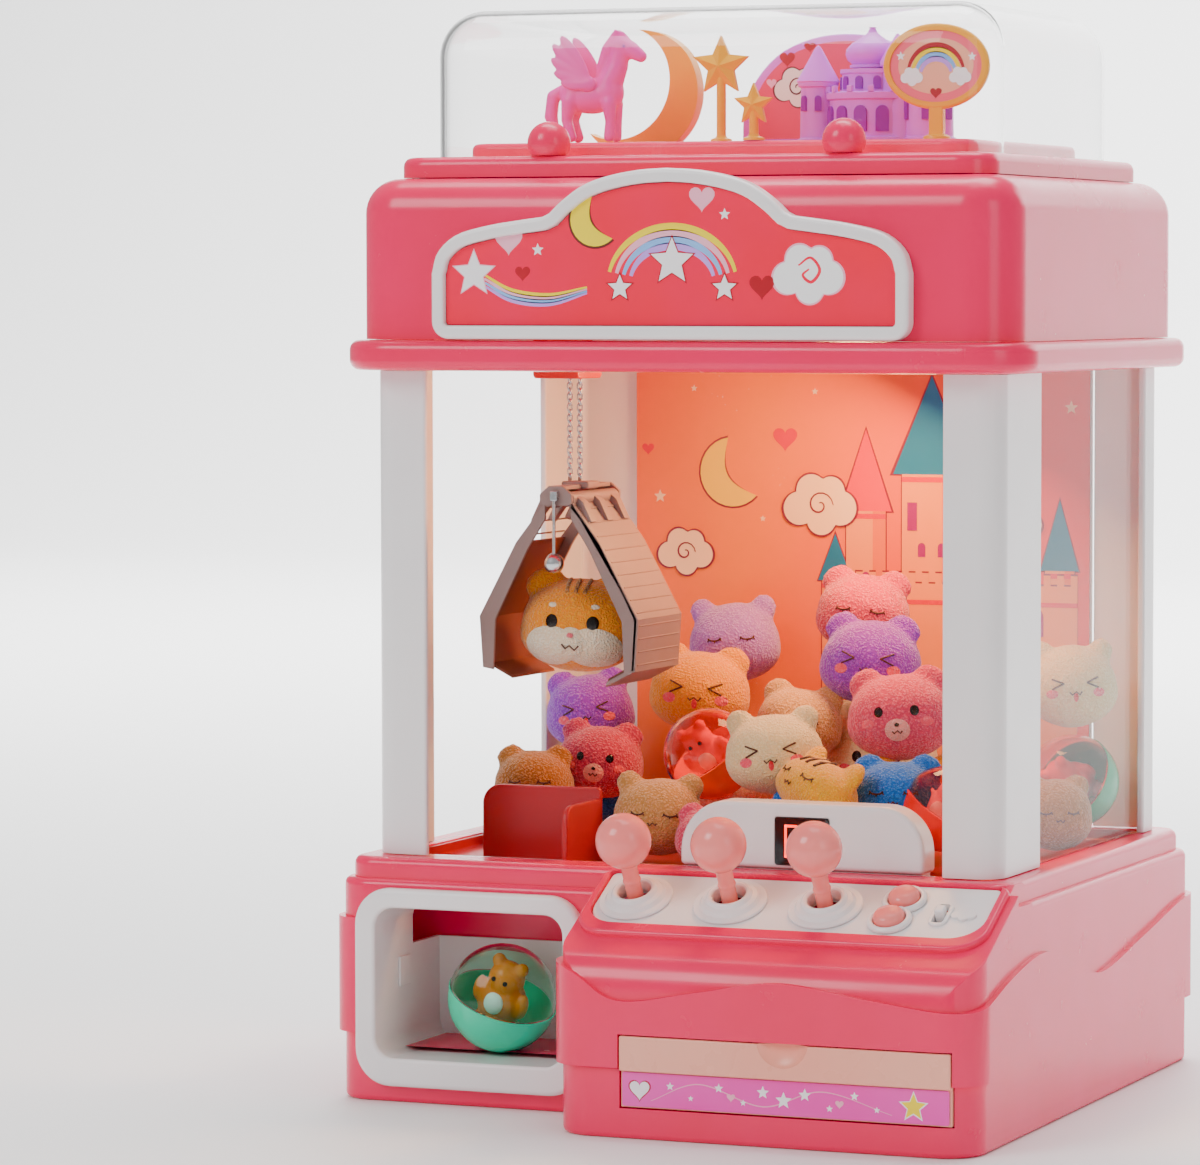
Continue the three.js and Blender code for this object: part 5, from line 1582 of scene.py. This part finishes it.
def make_pony():
    x, y, z = -61.0, -45.0, FOOT
    def at(a, b, c):
        return (x + a, y + b, z + c)
    parts = [globe("barrel", at(-1, 0, 19), (11.5, 6.6, 7.2), 24, 16),
            globe("rump", at(-8, 0, 19.5), (6.6, 6.4, 7.4), 20, 14),
             globe("chest", at(6.5, 0, 20.5), (6.4, 6, 7.6), 20, 14)]
    parts += limb("neck", [at(7, 0, 24), at(10.5, 0, 31), at(11.5, 0, 37.5)], [5.6, 4.4, 3.9])
    parts += limb("head", [at(11.5, 0, 39.5), at(16, 0, 37.6), at(20.6, 0, 34.8)], [4.4, 3.7, 2.6])
    for b in (-3.6, 3.6):
        parts += limb("front leg", [at(8, b, 16), at(8.6, b, 9), at(8.2, b, 2.6)], [3.2, 2.2, 2.4])
        parts += limb("rear leg", [at(-9, b, 17), at(-10.6, b, 9.5), at(-8.6, b, 2.6)], [3.8, 2.3, 2.4])
        parts.append(globe("ear", at(10.4, b * 0.6, 44.4), (1.1, 1.0, 2.3), 12, 8))
    parts += limb("tail", [at(-13.5, 0, 22), at(-18, 0, 19), at(-19, 0, 11), at(-16.5, 0, 5)],
            [2.2, 2.8, 2.9, 1.4])
    parts += limb("mane", [at(9.6, 0, 44), at(5.8, 0, 38), at(3.6, 0, 31), at(2.4, 0, 26)],
            [1.8, 2.4, 2.4, 1.6])
    parts += limb("forelock", [at(11.8, 0, 44.2), at(14.6, 0, 42.2)], [1.6, 1.1])
    pony = melt("pony_figure", parts, 0.75, 3)
    eyes = [paint(globe("eye", at(14.4, b, 38.9), (0.8, 0.5, 0.9), 12, 8), PURPLE) for b in (-3.4, 3.4)]
    wings = []
    for side in (-1, 1):
        for k, (reach, lean, wide) in enumerate(((25, 122, 3.3), (24, 134, 3.2), (21, 147, 3.0),
                (17, 160, 2.8), (13, 174, 2.5))):
            a = math.radians(lean)
            feather = globe("feather", (0, 0, 0), (reach / 2, 0.9, wide), 20, 10)
            wings.append(set_matrix(feather, Matrix.Translation(at(1 + reach / 2 * math.cos(a), side * (6.3
                    + k * 0.25), 23 + reach / 2 * math.sin(a)))
                                    @ Matrix.Rotation(-a, 4, "Y")))
        wings.append(globe("shoulder", at(-0.5, side * 6, 23.6), (4, 1.8, 3.4), 16, 10))
    wings = melt("wings", wings, 0.6, 1)
    paint(pony, PONY_PINK)
    paint(wings, PONY_PINK)
    seat(together("pony_figure", [pony, wings, *eyes]), "cabinet", "dome_pony", None, 60)


def make_moon():
    disc = rod("moon_figure", (-58, -7.5, FOOT + 22), (-58, -0.5, FOOT + 22), 27, 72)
    cut(disc, rod("bite", (-68, -12, FOOT + 27), (-68, 4, FOOT + 27), 24.5, 72),
            block("floor", -100, -20, -20, 20, 360, FOOT))
    tidy(disc)
    edit(disc)
    choose(disc, "edges", lambda e: len(e.link_faces) == 2 and e.calc_face_angle(0) > 0.8
            and abs(e.verts[0].co.y - e.verts[1].co.y) < 0.1)
    bpy.ops.mesh.bevel(offset=1.3, segments=4, affect="EDGES", clamp_overlap=True)
    leave()
    seat(disc, "cabinet", "dome_moon", GOLD)


def faceted_star(name, x, y, z, radius, node_name):
    body = slab(name, star(x, z, radius, 0.47), y - 1.0, y + 1.0, "y")
    edit(body)
    choose(body, "faces", lambda f: abs(f.normal.y) > 0.9)
    bpy.ops.mesh.poke(offset=radius * 0.24)
    leave()
    post = rod("post", (x, y, FOOT), (x, y, z - radius * 0.2), 1.9, 20, 0.3)
    foot = turned("foot", [(0, 0), (4.4, 0), (4.2, 0.9), (2.4, 1.6), (1.9, 2.4), (0, 2.4)], (x, y, FOOT),
            28)
    return seat(together(name, [body, post, foot]), "cabinet", node_name, GOLD, 20)


def make_arch_board():
    def arch(w, h, foot):
        return [(22 - w, foot)] + [(22 + w * math.cos(math.radians(a)),
                FOOT + 8 + h * math.sin(math.radians(a))) for a in range(180, -1, -6)] + [(22 + w, foot)]
    board = paint(slab("arch_figure", arch(45, 39, FOOT), 22, 26, "y", edge=1.0, rounds=4), LILAC)
    red = plastic("Arch print red", "#e04468", "#e85474", polish=0.4)
    pieces = [board, ink(arch(41.5, 35.5, FOOT + 3), 22, red, 0.15)]
    pieces += [ink(heart(-3, FOOT + 36, 3.4), 21.85, INK_RED),
            ink(heart(7, FOOT + 41, 2.6), 21.85, INK_RED), ink(heart(-10, FOOT + 26, 2.2), 21.85, INK_PALE)]
    pieces += outlined(cloud(1.5, FOOT + 24, 9.2), cloud(1.5, FOOT + 24, 9.9), 21.85, CREAM, INK_BROWN)
    swirl = [(1.5 + 4.6 * (1 - k / 26) * math.cos(k * 0.42),
            FOOT + 24 + 4.6 * (1 - k / 26) * math.sin(k * 0.42)) for k in range(24)]
    pieces.append(ink(stroke(swirl, 0.7), 21.62, INK_BROWN, 0.05))
    seat(together("arch_figure", pieces), "cabinet", "dome_arch_board")


def make_castle():
    x, y = 44.0, -4.0
    def tower(name, dx, dy, profile, steps=36):
        return paint(turned(name, profile, (x + dx, y + dy, FOOT), steps), LILAC)
    onion = [(0, 28), (7.6, 28), (7.8, 30.2), (9.2, 30.4), (9.3, 31.4), (8.2, 31.8), (10.2, 33.4),
            (11, 35.6), (10.6, 38), (8.4, 40.6), (5, 42.8), (2.4, 45),
             (1.2, 47.4), (1.6, 48), (0, 48.3)]
    pieces = [
        tower("keep", 2, 0, [(0, 0), (21, 0), (21, 2), (19.6, 2.6), (19.4, 17), (20.6, 17.6), (20.8, 20),
        (19.6, 20.4), (14.4, 20.6), (14.2, 27.6), (15, 28), (15, 29.6), (0, 29.8)], 48),
        tower("onion", 0, 0, onion),
        tower("turret", -22, -4, [(0, 0), (8.4, 0), (8.4, 1.6), (7.4, 2.2), (7, 22.4), (8.2, 23),
        (8.4, 24.6), (8.9, 25), (6.4, 29.4), (3.6, 34.4), (1.0, 39.2), (0, 40)]),
        tower("drum", 24, -3, [(0, 0), (12, 0), (12, 1.8), (11, 2.4), (10.8, 20), (12.2, 20.8),
        (12.4, 23.4), (11.2, 23.6), (11, 22.6), (0, 22.6)], 40),
        tower("spire", 14, -9, [(0, 0), (6.4, 0), (6, 30), (7, 30.6), (7.2, 32), (5.2, 36), (2.6, 40.6),
        (0.6, 44), (0, 44.4)]),
    ]
    for k in range(14):
        a = math.tau * k / 14
        pieces.append(paint(set_matrix(block("merlon", -1.2, 1.2, -0.9, 0.9, 0, 2.6, 0.3, 2),
                                       Matrix.Translation((x + 2 + 20 * math.cos(a), y + 20 * math.sin(a),
                                       FOOT + 20.2)) @ Matrix.Rotation(a + math.pi / 2, 4, "Z")), LILAC))
    for k in range(9):
        a = math.tau * k / 9
        pieces.append(paint(set_matrix(block("merlon", -1.1, 1.1, -0.7, 0.7, 0, 2.4, 0.3, 2),
                                       Matrix.Translation((x + 24 + 11.6 * math.cos(a),
                                       y - 3 + 11.6 * math.sin(a), FOOT + 23.3))
                                       @ Matrix.Rotation(a + math.pi / 2, 4, "Z")), LILAC))
    def opening(dx, dy, radius, angle, z, half, tall):
        arch = [(-half, 0), (half, 0)] + arc(0, tall - half, half, 0, 180, 10)
        pane = slab("opening", arch, -0.9, 0.35, "y", edge=0.15, rounds=2)
        a = math.radians(angle)
        return paint(set_matrix(pane, Matrix.Translation((x + dx + radius * math.sin(a), y
                + dy - radius * math.cos(a), FOOT + z)) @ Matrix.Rotation(a, 4, "Z")), PURPLE)
    for angle in (-52, -26, 0, 26, 52, 110, 180, 250):
        pieces.append(opening(2, 0, 19.4, angle, 4.4, 2.7, 10.4))
    for angle in (-40, -10, 20, 50, 120, 200, 280):
        pieces.append(opening(2, 0, 14.2, angle, 21.6, 1.6, 5.2))
    for angle in (-30, 20, 70, 170):
        pieces.append(opening(-22, -4, 7.1, angle, 13, 1.4, 6.2))
        pieces.append(opening(24, -3, 10.9, angle, 9, 1.9, 8))
    seat(together("castle_figure", pieces), "cabinet", "dome_castle", None, 35)


def make_oval_sign():
    x, y, z = 88.5, -52.0, FOOT + 28.6
    def oval(a, b, count=56):
        return [(x + a * math.cos(math.tau * k / count), z + b * math.sin(math.tau * k / count))
                for k in range(count)]
    rim = slab("oval_sign", oval(22, 17), y - 2, y + 2, "y", edge=1.3, rounds=4)
    cut(rim, slab("dish", oval(19.2, 14.2), y - 4, y - 1.1, "y"))
    face = plastic("Oval sign face", "#ff7486", "#ff8090", polish=0.35)
    sky = plastic("Oval sign sky", "#ffb59a", "#ffc0a8", polish=0.35)
    pieces = [paint(tidy(rim), GOLD), ink(oval(19.1, 14.1), y - 1.0, face, 0.2),
            ink(oval(15.6, 11), y - 1.2, sky, 0.1)]
    for k, tone in enumerate((INK_RED, INK_YELLOW, INK_BLUE, INK_LILAC)):
        pieces.append(ink(stroke(arc(x, z - 3.4, 11.6 - 1.8 * k, 10, 170, 30), 2.2), y - 1.3, tone, 0.1))
    pieces += [ink(cloud(x - 10, z - 4.2, 4.2), y - 1.4, INK_WHITE, 0.1),
            ink(cloud(x + 10, z - 4.2, 4.2), y - 1.4, INK_WHITE, 0.1),
               ink(star(x - 14.6, z + 4, 1.9), y - 1.3, INK_WHITE, 0.1),
               ink(star(x + 15, z + 3.4, 1.9), y - 1.3, INK_WHITE, 0.1),
               ink(heart(x, z - 10.4, 2.3), y - 1.3, INK_RED, 0.1)]
    post = paint(slab("post", rounded(rectangle(x - 2.8, x + 2.8, FOOT, z - 16), 0.8, 3), y - 1.8, y + 1.8,
            "y", edge=0.5), GOLD)
    foot = paint(turned("foot", [(0, 0), (5.4, 0), (5.2, 1), (3.6, 1.8), (0, 1.8)], (x, y, FOOT), 30), GOLD)
    seat(together("oval_sign", pieces + [post, foot]), "cabinet", "dome_oval_sign")


make_pony()
make_moon()
faceted_star("star_figure_tall", -3.5, -50, FOOT + 30, 12.4, "dome_star_tall")
faceted_star("star_figure_small", 16, -64, FOOT + 14, 8.6, "dome_star_small")
make_arch_board()
make_castle()
make_oval_sign()



# ---------------------------------------------------------------- floor, lamps and camera
def make_studio():
    bpy.ops.object.select_all(action="DESELECT")
    bpy.ops.mesh.primitive_plane_add(size=8, location=(0, 1.2, 0))
    floor = bpy.context.active_object
    floor.name = "floor"
    edit(floor)
    choose(floor, "edges", lambda e: all(v.co.y > 5 for v in e.verts) or all(v.co.y > 3.9 for v in e.verts))
    bpy.ops.mesh.extrude_region_move(TRANSFORM_OT_translate={"value": (0, 0, 5)})
    choose(floor, "edges", lambda e: all(v.co.y > 3.9 and abs(v.co.z) < 0.01 for v in e.verts))
    bpy.ops.mesh.bevel(offset=1.5, segments=12, affect="EDGES")
    leave()
    pick(floor)
    bpy.ops.object.transform_apply(location=True, rotation=True, scale=True)
    bpy.ops.object.shade_smooth()
    paint(floor, new_material("Pale floor", Base_Color=(0.9, 0.9, 0.9, 1), Roughness=0.6)[0])
    world = bpy.data.worlds.new("Studio")
    bpy.context.scene.world = world
    world.use_nodes = True
    world.node_tree.nodes["Background"].inputs[0].default_value = (1, 1, 1, 1)
    world.node_tree.nodes["Background"].inputs[1].default_value = 0.42

    def lamp(name, at, aim, size, power, tint=(1, 1, 1)):
        bpy.ops.object.light_add(type="AREA", location=at)
        light = bpy.context.active_object
        light.name = name
        light.visible_camera = False
        light.visible_transmission = False
        light.data.energy = power
        light.data.shape = "RECTANGLE"
        light.data.size, light.data.size_y = size
        light.data.color = tint
        light.rotation_euler = (Vector(at) - Vector(aim)).to_track_quat("Z", "Y").to_euler()

    lamp("key", (-0.9, -1.6, 1.4), (0, 0, 0.22), (0.9, 0.9), 20)
    lamp("fill", (1.7, -1.1, 0.8), (0, 0, 0.2), (0.7, 1.1), 5)
    lamp("top", (0.1, 0.1, 1.6), (0, 0, 0.2), (0.9, 0.9), 8)
    lamp("rim", (1.0, 1.5, 1.0), (0, 0, 0.3), (0.8, 0.8), 7)
    lamp("sweep", (-0.6, 2.2, 2.6), (-1.0, 4.2, 0.5), (3.0, 1.2), 420)
    lamp("ground", (-0.4, 1.2, 3.4), (-0.4, 1.6, 0), (2.5, 2.0), 110)
    lamp("cabinet_glow", (0.045, 0.055, 0.296), (-0.03, 0.0, 0.15), (0.07, 0.07), 0.75, (1.0, 0.5, 0.2))

    bpy.ops.object.camera_add(location=(0.76396, -1.93748, 0.32525),
            rotation=(math.radians(90 - 3.44), 0, math.radians(21.55)))
    camera = bpy.context.active_object
    camera.data.sensor_width = 36
    camera.data.lens = 153.93
    camera.data.shift_x = -0.1257
    camera.data.shift_y = 0.0118
    camera.data.clip_end = 50
    bpy.context.scene.camera = camera


make_studio()
